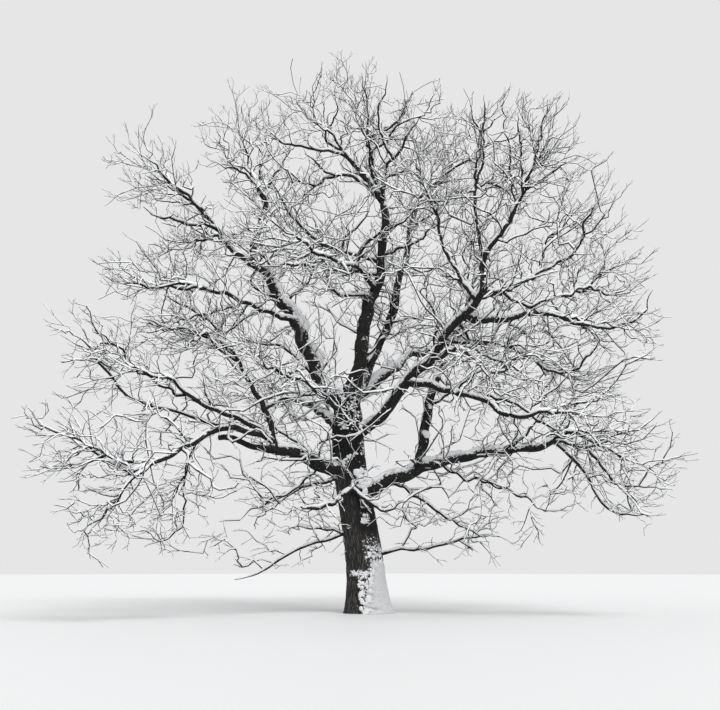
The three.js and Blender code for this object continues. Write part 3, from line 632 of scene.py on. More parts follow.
@dataclass(frozen=True)
class BarkFinish:
    """Furrowed bark with painted shade in its furrows, and snow caught where the mesh says how exposed each
    point is.
    """

    name: str
    plate_width: float
    # Painted shade: the near-black colour that the bark takes deep in its furrows, and the share of its tone
    # that the furrows keep.
    furrow_shade: Colour = (0.007, 0.0067, 0.0065)
    plate: Colour = (0.12, 0.115, 0.11)
    snow: Colour = (0.76, 0.765, 0.775)
    plate_span: Span = (0.02, 0.3)
    furrow_shade_share: float = 0.25
    weather_scale: float = 1.7
    weather_span: Span = (0.3, 0.75)
    fibre_scale: float = 70
    fibre_span: Span = (0.3, 0.7)
    damp_darkening: float = 0.8
    light: Triple = (0.2, 0.5, 0.3)
    patch_scale: float = 11
    fleck_scale: float = 32
    patch_share: float = 0.6
    mottling: float = 2.6
    snow_edge: Span = (0.5, 0.6)
    roughness: float = 0.94
    snow_smoothing: float = 0.3
    shine: float = 0.22
    heights: Triple = (0.6, 0.9, 0.15)
    bump_share: float = 0.3

    def make(self) -> bpy.types.Material:
        """Builds the material."""
        sheet = FinishSheet(self.name)
        place, grain = sheet.place(), sheet.carried("grain", "Vector")
        plates = sheet.plates(grain, self.plate_width).eased(*self.plate_span)
        weather = sheet.noise(place, self.weather_scale).eased(*self.weather_span)
        fibre = sheet.noise(grain, self.fibre_scale, 4).eased(*self.fibre_span)
        least, by_fibre, by_weather = self.light
        light = (1 - self.damp_darkening * sheet.carried("damp")) * (
            least + by_fibre * fibre + by_weather * weather)
        # Painted shade: the tone darkens into the furrows between the plates.
        tone_with_furrow_shade = (self.furrow_shade_share + (1 - self.furrow_shade_share) * plates) * light
        bark = sheet.mixed(tone_with_furrow_shade, self.furrow_shade, self.plate)
        speckle = (sheet.noise(place, self.patch_scale, 4) * self.patch_share
                   + sheet.noise(place, self.fleck_scale, 2) * (1 - self.patch_share))
        cover = (sheet.carried("exposure") + (speckle - 0.5) * self.mottling).eased(*self.snow_edge)
        sheet.dress(Base_Color=sheet.mixed(cover, bark, self.snow),
                    Roughness=self.roughness - self.snow_smoothing * cover, Specular_IOR_Level=self.shine)
        of_plates, of_snow, of_fibre = self.heights
        height = plates * (1 - cover) * of_plates + cover * of_snow + fibre * of_fibre
        sheet.bumped(height, self.plate_width * self.bump_share)
        return sheet.material


@dataclass(frozen=True)
class TwigFinish:
    """Plain smooth twig bark."""

    name: str
    colour: Colour
    roughness: float = 0.85
    shine: float = 0.2

    def make(self) -> bpy.types.Material:
        """Builds the material."""
        sheet = FinishSheet(self.name)
        sheet.dress(Base_Color=(*self.colour, 1), Roughness=self.roughness, Specular_IOR_Level=self.shine)
        return sheet.material


@dataclass(frozen=True)
class SnowFinish:
    """Settled snow, a little greyer in its hollows as painted shade."""

    name: str
    colour: Colour = (0.8, 0.805, 0.815)
    # Painted shade: the greyer colour in the hollows of the snow's bump, and where it starts.
    hollow_shade: Colour = (0.65, 0.66, 0.68)
    hollow_shade_span: Span = (0.25, 0.55)
    roughness: float = 0.62
    grain_roughness: float = 0.25
    lump_scale: float = 22
    grains_a_lump: float = 18
    lump_share: float = 0.8
    bump: float = 0.02
    bump_strength: float = 0.6
    textured: bool = True

    def make(self) -> bpy.types.Material:
        """Builds the material."""
        sheet = FinishSheet(self.name)
        sheet.dress(Base_Color=(*self.colour, 1), Roughness=self.roughness)
        if self.textured:
            place = sheet.place()
            lumps = sheet.noise(place, self.lump_scale, 4)
            grains = sheet.noise(place, self.lump_scale * self.grains_a_lump, 2)
            # Painted shade: the colour greys where the lumps that raise the bump are low.
            sheet.dress(Base_Color=sheet.mixed(lumps.eased(*self.hollow_shade_span), self.hollow_shade, self.colour),
                        Roughness=self.roughness + self.grain_roughness * grains)
            height = lumps * self.lump_share + grains * (1 - self.lump_share)
            sheet.bumped(height, self.bump, self.bump_strength)
        return sheet.material


class SocketKind(Enum):
    """Kinds of input that a recipe can have."""

    GEOMETRY = "NodeSocketGeometry"
    NUMBER = "NodeSocketFloat"
    COUNT = "NodeSocketInt"
    MATERIAL = "NodeSocketMaterial"


class Recipe(NodeSheet):
    """A Geometry Nodes tree with named inputs, which turns a source mesh into a plain piece."""

    def __init__(self, name: str, inputs: dict[str, tuple[SocketKind, Any]]) -> None:
        """Starts the tree with its inputs and their usual values."""
        tree = bpy.data.node_groups.new(name, "GeometryNodeTree")
        tree.interface.new_socket("Geometry", in_out="OUTPUT", socket_type=SocketKind.GEOMETRY.value)
        tree.interface.new_socket("Geometry", in_out="INPUT", socket_type=SocketKind.GEOMETRY.value)
        for label, (kind, usual) in inputs.items():
            socket = tree.interface.new_socket(label, in_out="INPUT", socket_type=kind.value)
            if usual is not None:
                socket.default_value = usual
        super().__init__(tree)
        self.inputs = tree.nodes.new("NodeGroupInput")

    def given(self, label: str) -> Signal:
        """One of the tree's own inputs."""
        return Signal(self, self.inputs.outputs[label])

    def carried(self, name: str, vector: bool = False) -> Signal:
        """A value that the mesh carries."""
        return self.signal("GeometryNodeInputNamedAttribute",
                           {"data_type": "FLOAT_VECTOR" if vector else "FLOAT"}, {"Name": name})

    def shifted(self, geometry: Signal, height: Signal) -> Signal:
        """The geometry with each point moved along its normal by a height."""
        normal = self.signal("GeometryNodeInputNormal")
        offset = self.scaled(normal, height)
        return self.signal("GeometryNodeSetPosition", {}, {"Geometry": geometry, "Offset": offset})

    def finished(self, geometry: Signal, labels: Sequence[str] = ("Material",), tag: str = "") -> None:
        """Ends the tree in plain geometry with its material, or with one for each number of a tag."""
        shaped = self.signal("GeometryNodeRealizeInstances", {}, {"Geometry": geometry})
        for number, label in enumerate(labels):
            sockets: dict[str | int, Any] = {"Geometry": shaped, "Material": self.given(label)}
            if tag:
                sockets["Selection"] = self.signal(
                    "FunctionNodeCompare", {"operation": "GREATER_THAN"},
                    {0: self.carried(tag), 1: number - 0.5})
            shaped = self.signal("GeometryNodeSetMaterial", {}, sockets)
        self.node("NodeGroupOutput", {}, {0: shaped})

    def cast(self, source: bpy.types.Object, name: str, **values: Any) -> bpy.types.Object:
        """Runs the tree on a source.

        Args:
            source: the mesh object that the tree reads, which is used up.
            name: the new piece's name.
            values: the tree's inputs, with a _ in a name for its space.

        Returns:
            The plain piece.
        """
        modifier = source.modifiers.new(name, "NODES")
        modifier.node_group = self.tree
        wanted = {key.replace("_", " "): value for key, value in values.items()}
        for item in self.tree.interface.items_tree:
            if item.in_out == "INPUT" and item.name in wanted:
                modifier[item.identifier] = wanted[item.name]
        graph = bpy.context.evaluated_depsgraph_get()
        mesh = bpy.data.meshes.new_from_object(source.evaluated_get(graph), depsgraph=graph)
        bpy.data.objects.remove(source)
        return show(mesh, name)


class TubeRecipe(Recipe):
    """Tubes along paths of edges, each point as thick as it says, in one material for each tint."""

    def __init__(self, tints: int) -> None:
        """Builds the tree."""
        labels = [f"Tint {number}" for number in range(tints)]
        super().__init__("tubes along paths", {
            "Sides": (SocketKind.COUNT, TUBE_SIDES), "Turn": (SocketKind.NUMBER, 0.0),
            **{label: (SocketKind.MATERIAL, None) for label in labels}})
        line = self.signal("GeometryNodeMeshToCurve", {}, {"Mesh": self.given("Geometry")})
        line = self.signal("GeometryNodeSetCurveNormal", {"mode": "Z_UP"}, {"Curve": line})
        ring = self.signal("GeometryNodeCurvePrimitiveCircle", {},
                           {"Resolution": self.given("Sides"), "Radius": 1})
        turn = self.signal("ShaderNodeCombineXYZ", {}, {"Z": self.given("Turn")})
        ring = self.signal("GeometryNodeTransform", {}, {"Geometry": ring, "Rotation": turn})
        tube = self.signal("GeometryNodeCurveToMesh", {}, {
            "Curve": line, "Profile Curve": ring, "Scale": self.carried("thickness"), "Fill Caps": True})
        self.finished(tube, labels, "tint")


class ReliefRecipe(Recipe):
    """Furrows sunk into a skin between plates of bark, as deep as the skin says."""

    plate_edge, fibre_depth = 0.3, 0.7

    def __init__(self, plate_width: float) -> None:
        """Builds the tree."""
        super().__init__("bark relief", {"Fibre Scale": (SocketKind.NUMBER, 26.0),
                                         "Material": (SocketKind.MATERIAL, None)})
        grain = self.carried("grain", vector=True)
        plates = self.plates(grain, plate_width).eased(0.0, self.plate_edge)
        fibre = self.signal("ShaderNodeTexNoise", {}, {"Vector": grain, "Scale": self.given("Fibre Scale")})
        height = (plates - 1 + (fibre - 0.5) * self.fibre_depth) * self.carried("relief")
        self.finished(self.shifted(self.given("Geometry"), height))


class DriftRecipe(Recipe):
    """Snow swollen into soft lumps, as much as each point allows."""

    level, swell = 0.45, 2.4

    def __init__(self) -> None:
        """Builds the tree."""
        super().__init__("snow lumps", {"Lump Scale": (SocketKind.NUMBER, 7.0),
                                        "Material": (SocketKind.MATERIAL, None)})
        place = self.signal("GeometryNodeInputPosition")
        lumps = self.signal("ShaderNodeTexNoise", {}, {
            "Vector": place, "Scale": self.given("Lump Scale"), "Detail": 3})
        height = (lumps - self.level) * self.swell * self.carried("plump")
        self.finished(self.shifted(self.given("Geometry"), height))


class ClodRecipe(Recipe):
    """Small clods of snow stuck to a skin, denser where it is more exposed."""

    length_share, height_share = 1.3, 0.6

    def __init__(self) -> None:
        """Builds the tree."""
        super().__init__("clods of snow", {
            "Density": (SocketKind.NUMBER, 60.0), "Smallest": (SocketKind.NUMBER, 0.01),
            "Largest": (SocketKind.NUMBER, 0.03), "Seed": (SocketKind.COUNT, 5),
            "Material": (SocketKind.MATERIAL, None)})
        density = self.carried("clods") * self.given("Density")
        spots = self.node("GeometryNodeDistributePointsOnFaces", {},
                          {"Mesh": self.given("Geometry"), "Density": density, "Seed": self.given("Seed")})
        clod = self.signal("GeometryNodeMeshIcoSphere", {}, {"Radius": 1, "Subdivisions": 1})
        size = self.node("FunctionNodeRandomValue", {"data_type": "FLOAT"}, {"Seed": self.given("Seed")})
        for socket in size.inputs:
            if socket.enabled and socket.name in ("Min", "Max"):
                label = "Smallest" if socket.name == "Min" else "Largest"
                self.tree.links.new(self.given(label).socket, socket)
        drawn = Signal(self, next(s for s in size.outputs if s.enabled))
        flat = self.signal("ShaderNodeCombineXYZ", {}, {
            "X": drawn * self.length_share, "Y": drawn, "Z": drawn * self.height_share})
        clods = self.signal("GeometryNodeInstanceOnPoints", {}, {
            "Points": spots.outputs["Points"], "Instance": clod,
            "Rotation": spots.outputs["Rotation"], "Scale": flat})
        self.finished(clods)


def show(mesh: bpy.types.Mesh, name: str) -> bpy.types.Object:
    """Puts a mesh in the scene, smoothly shaded."""
    mesh.name = name
    mesh.shade_smooth()
    piece = bpy.data.objects.new(name, mesh)
    bpy.context.scene.collection.objects.link(piece)
    return piece


def carry(mesh: bpy.types.Mesh, name: str, values: Array) -> None:
    """Gives each point of a mesh a number or a vector to carry."""
    vector = values.ndim == 2
    attribute = mesh.attributes.new(name, "FLOAT_VECTOR" if vector else "FLOAT", "POINT")
    attribute.data.foreach_set("vector" if vector else "value", values.astype(np.float32).ravel())


@dataclass
class Skin:
    """A closed skin: its points, its faces of four and of three, and the values that its points carry."""

    points: Array
    quads: Array
    triangles: Array
    values: dict[str, Array] = field(default_factory=dict)

    @staticmethod
    def joined(skins: Sequence["Skin"]) -> "Skin":
        """Several skins as one."""
        starts = np.cumsum([0] + [len(skin.points) for skin in skins])
        return Skin(
            np.concatenate([skin.points for skin in skins]),
            np.concatenate([skin.quads + start for skin, start in zip(skins, starts)]),
            np.concatenate([skin.triangles + start for skin, start in zip(skins, starts)]),
            {name: np.concatenate([skin.values[name] for skin in skins]) for name in skins[0].values})

    def laid(self, name: str) -> bpy.types.Object:
        """The skin as an object."""
        mesh = bpy.data.meshes.new(name)
        mesh.vertices.add(len(self.points))
        mesh.vertices.foreach_set("co", self.points.astype(np.float32).ravel())
        corners = np.concatenate([self.quads.ravel(), self.triangles.ravel()]).astype(np.int32)
        sizes = np.concatenate([np.full(len(self.quads), 4), np.full(len(self.triangles), 3)])
        mesh.loops.add(len(corners))
        mesh.loops.foreach_set("vertex_index", corners)
        mesh.polygons.add(len(sizes))
        mesh.polygons.foreach_set("loop_start", np.concatenate([[0], np.cumsum(sizes)[:-1]]).astype(np.int32))
        mesh.update(calc_edges=True)
        for label, values in self.values.items():
            carry(mesh, label, values)
        return show(mesh, name)


def rings_skin(rings: Array, values: dict[str, Array]) -> Skin:
    """A skin over rings of points, with a closed end at either side.

    Args:
        rings: the points, as (rings, points a ring, 3).
        values: what the points carry, as (rings, points a ring) or with a last axis of 3.

    Returns:
        The skin.
    """
    count, sides = rings.shape[:2]
    low = np.arange(count - 1)[:, None] * sides + np.arange(sides)
    after = np.arange(count - 1)[:, None] * sides + (np.arange(sides) + 1) % sides
    quads = np.stack([low, after, after + sides, low + sides], -1).reshape(-1, 4)
    first, second = np.arange(sides), (np.arange(sides) + 1) % sides
    last, foot, tip = (count - 1) * sides, count * sides, count * sides + 1
    triangles = np.concatenate([
        np.stack([np.full(sides, foot), second, first], -1),
        np.stack([np.full(sides, tip), last + first, last + second], -1)])
    points = np.concatenate([rings.reshape(-1, 3), rings[[0, -1]].mean(1)])
    carried = {
        name: np.concatenate([value.reshape(count * sides, *value.shape[2:]), value[[0, -1]].mean(1)])
        for name, value in values.items()}
    return Skin(points, quads, triangles, carried)


class LimbLine:
    """The line of a limb: a chord by bearing, reach and rise, bent in its own upright plane and sideways."""

    def __init__(self, foot: Array, row: BoughRow) -> None:
        """Sets the line out from its foot."""
        turn = math.radians(row.bearing)
        lift = math.atan2(row.rise, row.reach)
        out = np.array([math.cos(turn), math.sin(turn), 0])
        self.foot = foot
        self.chord = (out * row.reach + UP * row.rise) * MM
        self.over = (-out * math.sin(lift) + UP * math.cos(lift)) * MM
        self.side = np.array([-math.sin(turn), math.cos(turn), 0]) * MM
        self.row = row

    def point(self, share: Array) -> Array:
        """Points at shares of the way along."""
        s = np.asarray(share, float)[..., None]
        once, twice = np.sin(np.pi * s), np.sin(2 * np.pi * s)
        row = self.row
        return (self.foot + self.chord * s + self.over * (row.arch * once + row.hook * twice)
                + self.side * (row.sweep * once + row.weave * twice))

    def heading(self, share: Array) -> Array:
        """The way that the line runs, at shares of the way along."""
        return ways(self.point, share)


class Trunk:
    """The trunk stands on its flat cut, flares over its roots and draws in above its shoulder."""

    rise = 6.5
    lean = 0.54
    waist_girth, shoulder_girth, crown_girth = 1.16, 0.94, 0.64
    shoulder_height = 5.5
    flare_girth, flare_height = 0.26, 0.42
    root_count, root_depth, root_turn = 5, 0.07, math.radians(40)

    def __init__(self) -> None:
        """Sets the trunk's line out."""
        row = BoughRow("", 0, bearing=180, reach=self.lean / MM, rise=self.rise / MM, arch=-80, hook=100,
                       girth=self.waist_girth / MM, end=self.crown_girth / MM)
        self.line = LimbLine(np.zeros(3), row)
        self.girth, self.length, self.buried = self.waist_girth, self.rise, 0.0

    def path(self, share: Array) -> Array:
        """The middle of the trunk's skin."""
        return self.line.point(share)

    def radius(self, share: Array) -> Array:
        """Half the trunk's thickness, at shares of its height."""
        height = np.asarray(share, float) * self.rise
        body = blend(self.waist_girth, self.shoulder_girth, np.minimum(height / self.shoulder_height, 1))
        drawn = blend(body, self.crown_girth, ease(self.shoulder_height, self.rise, height))
        return (drawn + self.flare_girth * np.exp(-height / self.flare_height)) / 2

    def radius_towards(self, share: Array, angle: Array) -> Array:
        """The radius with the swell of the roots, towards an angle from +X."""
        fade = np.exp(-share * self.rise / (2 * self.flare_height))
        roots = self.root_depth * fade * np.cos(self.root_count * angle + self.root_turn)
        return self.radius(share) * (1 + roots)


class Bough:
    """A limb that leaves another, with a collar at its foot and a taper to its tip.

    Its line is the frame's. Its path adds small crooks to that line, and ends at the same tip.
    """

    def __init__(self, parent: "Trunk | Bough", row: BoughRow, crook: float, seed: int,
                 tip: float = 1) -> None:
        """Sets the bough out from its parent.

        Args:
            parent: the limb that it leaves.
            row: its driving sizes.
            crook: how far its crooks reach, as a share of its length.
            seed: what fixes the crooks.
            tip: how much of its thickness is left at its very tip.
        """
        self.tip = tip
        self.line = LimbLine(parent.line.point(row.at), row)
        self.shift = parent.path(row.at) - self.line.foot
        self.girth, self.end = row.girth * MM, row.end * MM
        self.buried = float(parent.radius(row.at))
        steps = self.line.point(np.linspace(0, 1, LENGTH_STEPS))
        self.length = float(np.linalg.norm(np.diff(steps, axis=0), axis=1).sum())
        spread = np.random.default_rng(seed).normal(0, 1, (len(CROOK_WAVES), 3))
        self.crooks = spread * crook * self.length * ((CROOK_WAVES[0] / CROOK_WAVES) ** CROOK_FADE)[:, None]

    def path(self, share: Array) -> Array:
        """The middle of the bough's skin, at shares of the way along."""
        share = np.asarray(share, float)
        bends = np.sin(np.pi * share[..., None] * CROOK_WAVES) @ self.crooks
        return self.line.point(share) + self.shift * (1 - share[..., None]) + bends

    def radius(self, share: Array) -> Array:
        """Half the bough's thickness, at shares of the way along."""
        share = np.asarray(share, float)
        clear = np.maximum(0, share * self.length - self.buried)
        collar = 1 + COLLAR * np.exp(-clear / self.girth)
        narrowed = blend(1, self.tip, ease(-TIP_LENGTH, 0, (share - 1) * self.length))
        girth = self.end + (self.girth - self.end) * np.maximum(1 - share, 0) ** TAPER_POWER
        return narrowed * collar * girth / 2


@dataclass(frozen=True)
class Snowfall:
    """How snow settles: mostly from above, and driven a little from the tree's right and the far side."""

    fall: Triple = (0.2, 0.2, 1.0)
    barest: float = 0.22
    fullest: float = 0.66
    depth_share: float = 0.24
    depth_power: float = 0.62
    least_girth: float = 0.002

    def bed(self, headings: Array) -> tuple[Array, Array]:
        """The side of a limb that snow lies on, and how well it lies there, from 0 to 1."""
        fall = unit(np.array(self.fall))
        across = fall - headings * (headings @ fall)[..., None]
        return unit(across), ease(self.barest, self.fullest, np.linalg.norm(across, axis=-1))

    def depth(self, girth: Array) -> Array:
        """How deep snow lies on level wood of that girth."""
        return self.depth_share * np.maximum(girth, self.least_girth) ** self.depth_power


@dataclass(frozen=True)
class SnowPatch:
    """A patch of snow caught on the trunk's bark: how much, then its middle and half sizes, up and round."""

    share: float
    height: float
    half_height: float
    bearing: float
    half_turn: float


SNOW_PATCHES = (
    SnowPatch(0.16, 0, math.inf, -20, 60),
    SnowPatch(0.46, 1.75, 0.55, -50, 42),
    SnowPatch(0.5, 1.12, 0.14, -105, 42),
    SnowPatch(0.34, 0.55, 0.6, -98, 22),
    SnowPatch(0.55, 3.8, 0.6, -24, 30),
    SnowPatch(0.36, 6.1, 0.8, -80, 110),
    SnowPatch(0.42, 5.2, 0.8, -12, 28),
    SnowPatch(0.5, 2.7, 0.2, -66, 20),
)


@dataclass(frozen=True)
class TrunkBark:
    """The trunk's skin: furrowed, damp in places, and caught with snow, most of all at its foot."""

    patches: Sequence[SnowPatch] = SNOW_PATCHES
    sides: int = 220
    rings: int = 300
    crowding: float = 1.15
    relief: float = 0.026
    proud_share: float = 0.4
    proud_from: float = 0.05
    plain_foot: float = 0.15
    grain_radius: float = 0.55
    soft_edge: float = 24
    least_snow: float = 0.02
    foot_snow: float = 1.1
    foot_bearing: float = -38
    foot_halves: Span = (66, 24)
    foot_narrowed: float = 1.6
    foot_top: Span = (1.2, 1.7)
    clods_from: float = 0.25
    clods_fade: Span = (0.6, 0.9)
    scar_bearing: float = -52
    scar_edge: Span = (20, 60)
    scar_foot: Span = (2.0, 2.5)
    damp_from: Span = (4.1, 4.8)

    def skin(self, trunk: Trunk) -> Skin:
        """The skin, with its rings level as in the frame."""
        shares = np.linspace(0, 1, self.rings + 1) ** self.crowding
        angles = np.linspace(0, 2 * np.pi, self.sides, endpoint=False)
        share, angle = np.meshgrid(shares, angles, indexing="ij")
        proud = self.relief * self.proud_share * ease(0, self.proud_from, share)
        radii = trunk.radius_towards(share, angle) + proud
        out = level_ways(angle)
        height = share * trunk.rise
        exposure = self.exposure(height, angle)
        clods = np.clip(exposure - self.clods_from, 0, 1) * (1 - ease(*self.clods_fade, exposure))
        return rings_skin(trunk.line.point(shares)[:, None, :] + out * radii[..., None], {
            "grain": out * self.grain_radius + UP * (height * GRAIN_STRETCH)[..., None],
            "relief": self.relief * ease(0, self.plain_foot, height),
            "exposure": exposure, "clods": clods * (height > self.plain_foot),
            "damp": self.damp(height, angle)})

    def facing(self, angle: Array, bearing: float, half_turn: Array) -> Array:
        """1 towards a bearing, fading at so many degrees to either side."""
        return 1 - ease(0, 1, (off_bearing(angle, bearing) - half_turn) / self.soft_edge + 0.5)

    def exposure(self, height: Array, angle: Array) -> Array:
        """How much snow the bark has caught: packed at the foot, mottled up the windward side."""
        half_turn = blend(*self.foot_halves, np.clip(height / self.foot_narrowed, 0, 1))
        foot = self.foot_snow * self.facing(angle, self.foot_bearing, half_turn) * (
            1 - ease(*self.foot_top, height))
        patches = [patch.share * (self.facing(angle, patch.bearing, patch.half_turn)
                                  * np.exp(-(((height - patch.height) / patch.half_height) ** 4)))
                   for patch in self.patches]
        return self.least_snow + np.maximum.reduce([foot, *patches])

    def damp(self, height: Array, angle: Array) -> Array:
        """Where the bark is wet and black: round the scar, and all over above the low boughs."""
        round_scar = 1 - ease(*self.scar_edge, off_bearing(angle, self.scar_bearing))
        return np.maximum(round_scar * ease(*self.scar_foot, height), ease(*self.damp_from, height))


@dataclass(frozen=True)
class LimbGroup:
    """Limbs that share a piece of bark: how many sides their skins have, and how far apart the rings are."""

    label: str
    names: Sequence[str]
    sides: int
    step: float


LIMB_GROUPS = (
    LimbGroup("stout_boughs", [name for name, row in BOUGHS.items() if row.girth >= STOUT_GIRTH_MM],
              sides=36, step=0.05),
    LimbGroup("boughs", [name for name, row in BOUGHS.items() if row.girth < STOUT_GIRTH_MM],
              sides=20, step=0.08),
    LimbGroup("side_limbs", list(SIDE_LIMBS), sides=9, step=0.1),
)


@dataclass(frozen=True)
class BoughBark:
    """The skins of boughs and side limbs: knobbly, furrowed, and caught with snow above and to windward."""

    snowfall: Snowfall
    fewest_rings: int = 6
    relief: float = 0.07
    damp: float = 0.84
    knobs: float = 0.07
    knob_twist: float = 9
    swells: float = 0.1
    swell_paces: Span = (2, 14)
    stump_share: float = 1.08
    tip_length: float = 0.25
    grain_radius: float = 0.05
    grain_shift: float = 1.7
    top_snow: float = 0.5
    top_span: Span = (-0.35, 0.62)
    steep_share: float = 0.35
    windward: Triple = (0.8, -0.55, 0.3)
    blown_snow: float = 0.1
    blown_span: Span = (0, 0.9)
    patchiness: float = 0.12
    patchy_paces: Span = (2, 12)
    least_snow: float = 0.065
    bare_radii: Span = (0.02, 0.07)

    def skin(self, bough: Bough, group: LimbGroup, seed: int, snow_left: float, blunt: bool) -> Skin:
        """A bough's skin, with how exposed to snow each point is.

        Args:
            bough: the limb.
            group: the limbs that it shares a piece with.
            seed: what fixes its knobs and its snow.
            snow_left: how much of its snow it keeps.
            blunt: whether it ends in a broken stump.

        Returns:
            The skin.
        """
        count, sides = max(self.fewest_rings, int(math.ceil(bough.length / group.step))), group.sides
        shares = np.linspace(0, 1, count + 1)
        headings, radii = ways(bough.path, shares), bough.radius(shares)
        across, other = ring_frames(headings)
        angles = np.linspace(0, 2 * np.pi, sides, endpoint=False)
        out = across[:, None] * np.cos(angles)[:, None] + other[:, None] * np.sin(angles)[:, None]
        along = np.broadcast_to((shares * bough.length)[:, None], (count + 1, sides))
        phase = np.random.default_rng(seed).uniform(0, LAST_PHASE)
        knobs = 1 + self.knobs * np.sin(angles * 2 + phase + shares[:, None] * self.knob_twist)
        knobs += self.swells * waver(along[:, 0], seed + SWELL_SEED, *self.swell_paces)[:, None]
        end_share = self.stump_share if blunt else STEM_SHARE
        tip = blend(1, end_share, ease(-self.tip_length, 0, (shares - 1) * bough.length))
        spread = np.maximum(radii, self.grain_radius)[:, None]
        grain = np.stack([np.cos(angles) * spread, np.sin(angles) * spread,
                          along * GRAIN_STRETCH + seed * self.grain_shift], -1)
        patchy = self.patchiness * waver(along, seed + PATCHY_SEED, *self.patchy_paces)
        rings = bough.path(shares)[:, None] + out * (radii * tip)[:, None, None] * knobs[..., None]
        return rings_skin(rings, {
            "grain": grain,
            "relief": np.broadcast_to((radii * self.relief)[:, None], along.shape),
            "exposure": self.exposure(headings, radii, out, patchy) * snow_left,
            "damp": np.full(along.shape, self.damp)})

    def exposure(self, headings: Array, radii: Array, out: Array, patchy: Array) -> Array:
        """How much snow the bark has caught: on top, blown against its side, and in patches."""
        bed, lies = self.snowfall.bed(headings)
        facing = (out * bed[:, None]).sum(-1)
        on_top = self.top_snow * ease(*self.top_span, facing) * blend(self.steep_share, 1, lies)[:, None]
        blown = self.blown_snow * ease(*self.blown_span, out @ unit(np.array(self.windward)))
        caught = np.clip(on_top + blown + patchy + self.least_snow, 0, 1)
        return caught * ease(*self.bare_radii, radii)[:, None]


@dataclass(frozen=True)
class SnowRidges:
    """The snow along the tops of limbs, in as many lengths as it lies in, with ragged edges."""

    snowfall: Snowfall
    fewest_rings: int = 8
    steps: Span = (0.055, 0.1)
    girth_step: float = 0.012
    first_share: float = 0.02
    unevenness: Span = (0.9, 0.4)
    uneven_paces: Span = (2, 40)
    heaviest: float = 1.9
    clear_gap: float = 0.02
    stout_girth: float = 0.1
    stout_columns: int = 13
    slim_columns: int = 7
    half_turns: Span = (20, 54)
    widening: Span = (-0.004, 0.022)
    narrowing_power: float = 0.4
    raggedness: float = 0.5
    ragged_paces: Span = (6, 80)
    seat_share: float = 0.97
    roundness: float = 0.55
    core_turn: float = 0.6
    core_share: float = 0.72
    plump_depth: float = 0.09
    plump_share: float = 0.5
    shallowest: float = 0.005

    def skins(self, limb: Bough, seed: int, snow_left: float) -> list[Skin]:
        """The snow along a limb that keeps a share of it."""
        closest, widest = self.steps
        count = int(limb.length / max(closest, min(widest, self.girth_step / limb.girth)))
        shares = np.linspace(self.first_share, 1, max(self.fewest_rings, count) + 1)
        runs, headings, radii = shares * limb.length, ways(limb.path, shares), limb.radius(shares)
        bed, lies = self.snowfall.bed(headings)
        uneven = 1 + blend(*self.unevenness, lies) * waver(runs, seed, *self.uneven_paces)
        clear = ease(limb.buried / 2, limb.buried + self.clear_gap, runs)
        depth = self.snowfall.depth(radii * 2) * lies * np.clip(uneven, 0, self.heaviest) * clear * snow_left
        lift = np.linspace(-1, 1, self.stout_columns if limb.girth > self.stout_girth else self.slim_columns)
        full = (np.radians(blend(*self.half_turns, lies)) * ease(*self.widening, depth)
                * snow_left**self.narrowing_power)
        ragged = self.raggedness * np.stack(
            [waver(runs, seed + more, *self.ragged_paces) for more in RAGGED_SEEDS], 1)
        half = full[:, None] * np.where(lift < 0, 1 + ragged[:, :1], 1 + ragged[:, 1:])
        outer = radii[:, None] * self.seat_share + depth[:, None] * np.cos(lift * np.pi / 2) ** self.roundness
        core_angle = full[:, None] * np.array([self.core_turn, 0.0, -self.core_turn])
        core = np.broadcast_to(radii[:, None] * self.core_share, core_angle.shape)
        angle = np.concatenate([half * lift, core_angle], 1)[..., None]
        radius = np.concatenate([outer, core], 1)
        third = np.cross(headings, bed)
        rings = limb.path(shares)[:, None] + radius[..., None] * (
            bed[:, None] * np.cos(angle) + third[:, None] * np.sin(angle))
        plump = np.zeros_like(radius)
        plump[:, 1:len(lift) - 1] = np.minimum(depth, self.plump_depth)[:, None] * self.plump_share
        return [rings_skin(rings[start:stop], {"plump": plump[start:stop]})
                for start, stop in stretches(depth > self.shallowest)]


def ring_frames(headings: Array) -> tuple[Array, Array]:
    """Two ways across each heading that turn as little as they can from one to the next."""
    across = np.empty_like(headings)
    last = np.array([0.0, 1, 0]) if abs(headings[0, 0]) > NEARLY_ALONG else np.array([1.0, 0, 0])
    for index, heading in enumerate(headings):
        last = unit(last - heading * (last @ heading))
        across[index] = last
    return across, np.cross(headings, across)


class Seeded:
    """The source's own run of numbers from 0 to 1."""

    def __init__(self, seed: int) -> None:
        """Starts the run."""
        self.state = seed

    def __call__(self) -> float:
        """The next number."""
        self.state = (self.state * 1664525 + 1013904223) % 2**32
        return self.state / 2**32


@dataclass
class Twig:
    """A twig on a curve of second degree, from a start by a lead point to an end."""

    start: Array
    lead: Array
    end: Array
    radius: float
    thinnest: float
    spray: int

    def point(self, share: Array) -> Array:
        """Points at shares of the way along."""
        t = np.asarray(share, float)[..., None]
        return self.start * (1 - t) ** 2 + self.lead * 2 * t * (1 - t) + self.end * t * t

    def heading(self, share: Array) -> Array:
        """The way that it runs."""
        t = np.asarray(share, float)[..., None]
        return unit((self.lead - self.start) * (1 - t) + (self.end - self.lead) * t)

    def thickness(self, share: Array) -> Array:
        """Its radius, thinning to its tip."""
        return blend(self.radius, max(self.radius * TIP_SHARE, self.thinnest), np.asarray(share, float))


@dataclass
class Path:
    """A run of points with a radius at each, which becomes a tube.

    It leaves its parent, another path, at a knot, which is one of that path's points. Both are numbers, and
    a parent of -1 stands for a limb.
    """

    points: Array
    radii: Array
    spray: int
    parent: int = -1
    knot: int = 0


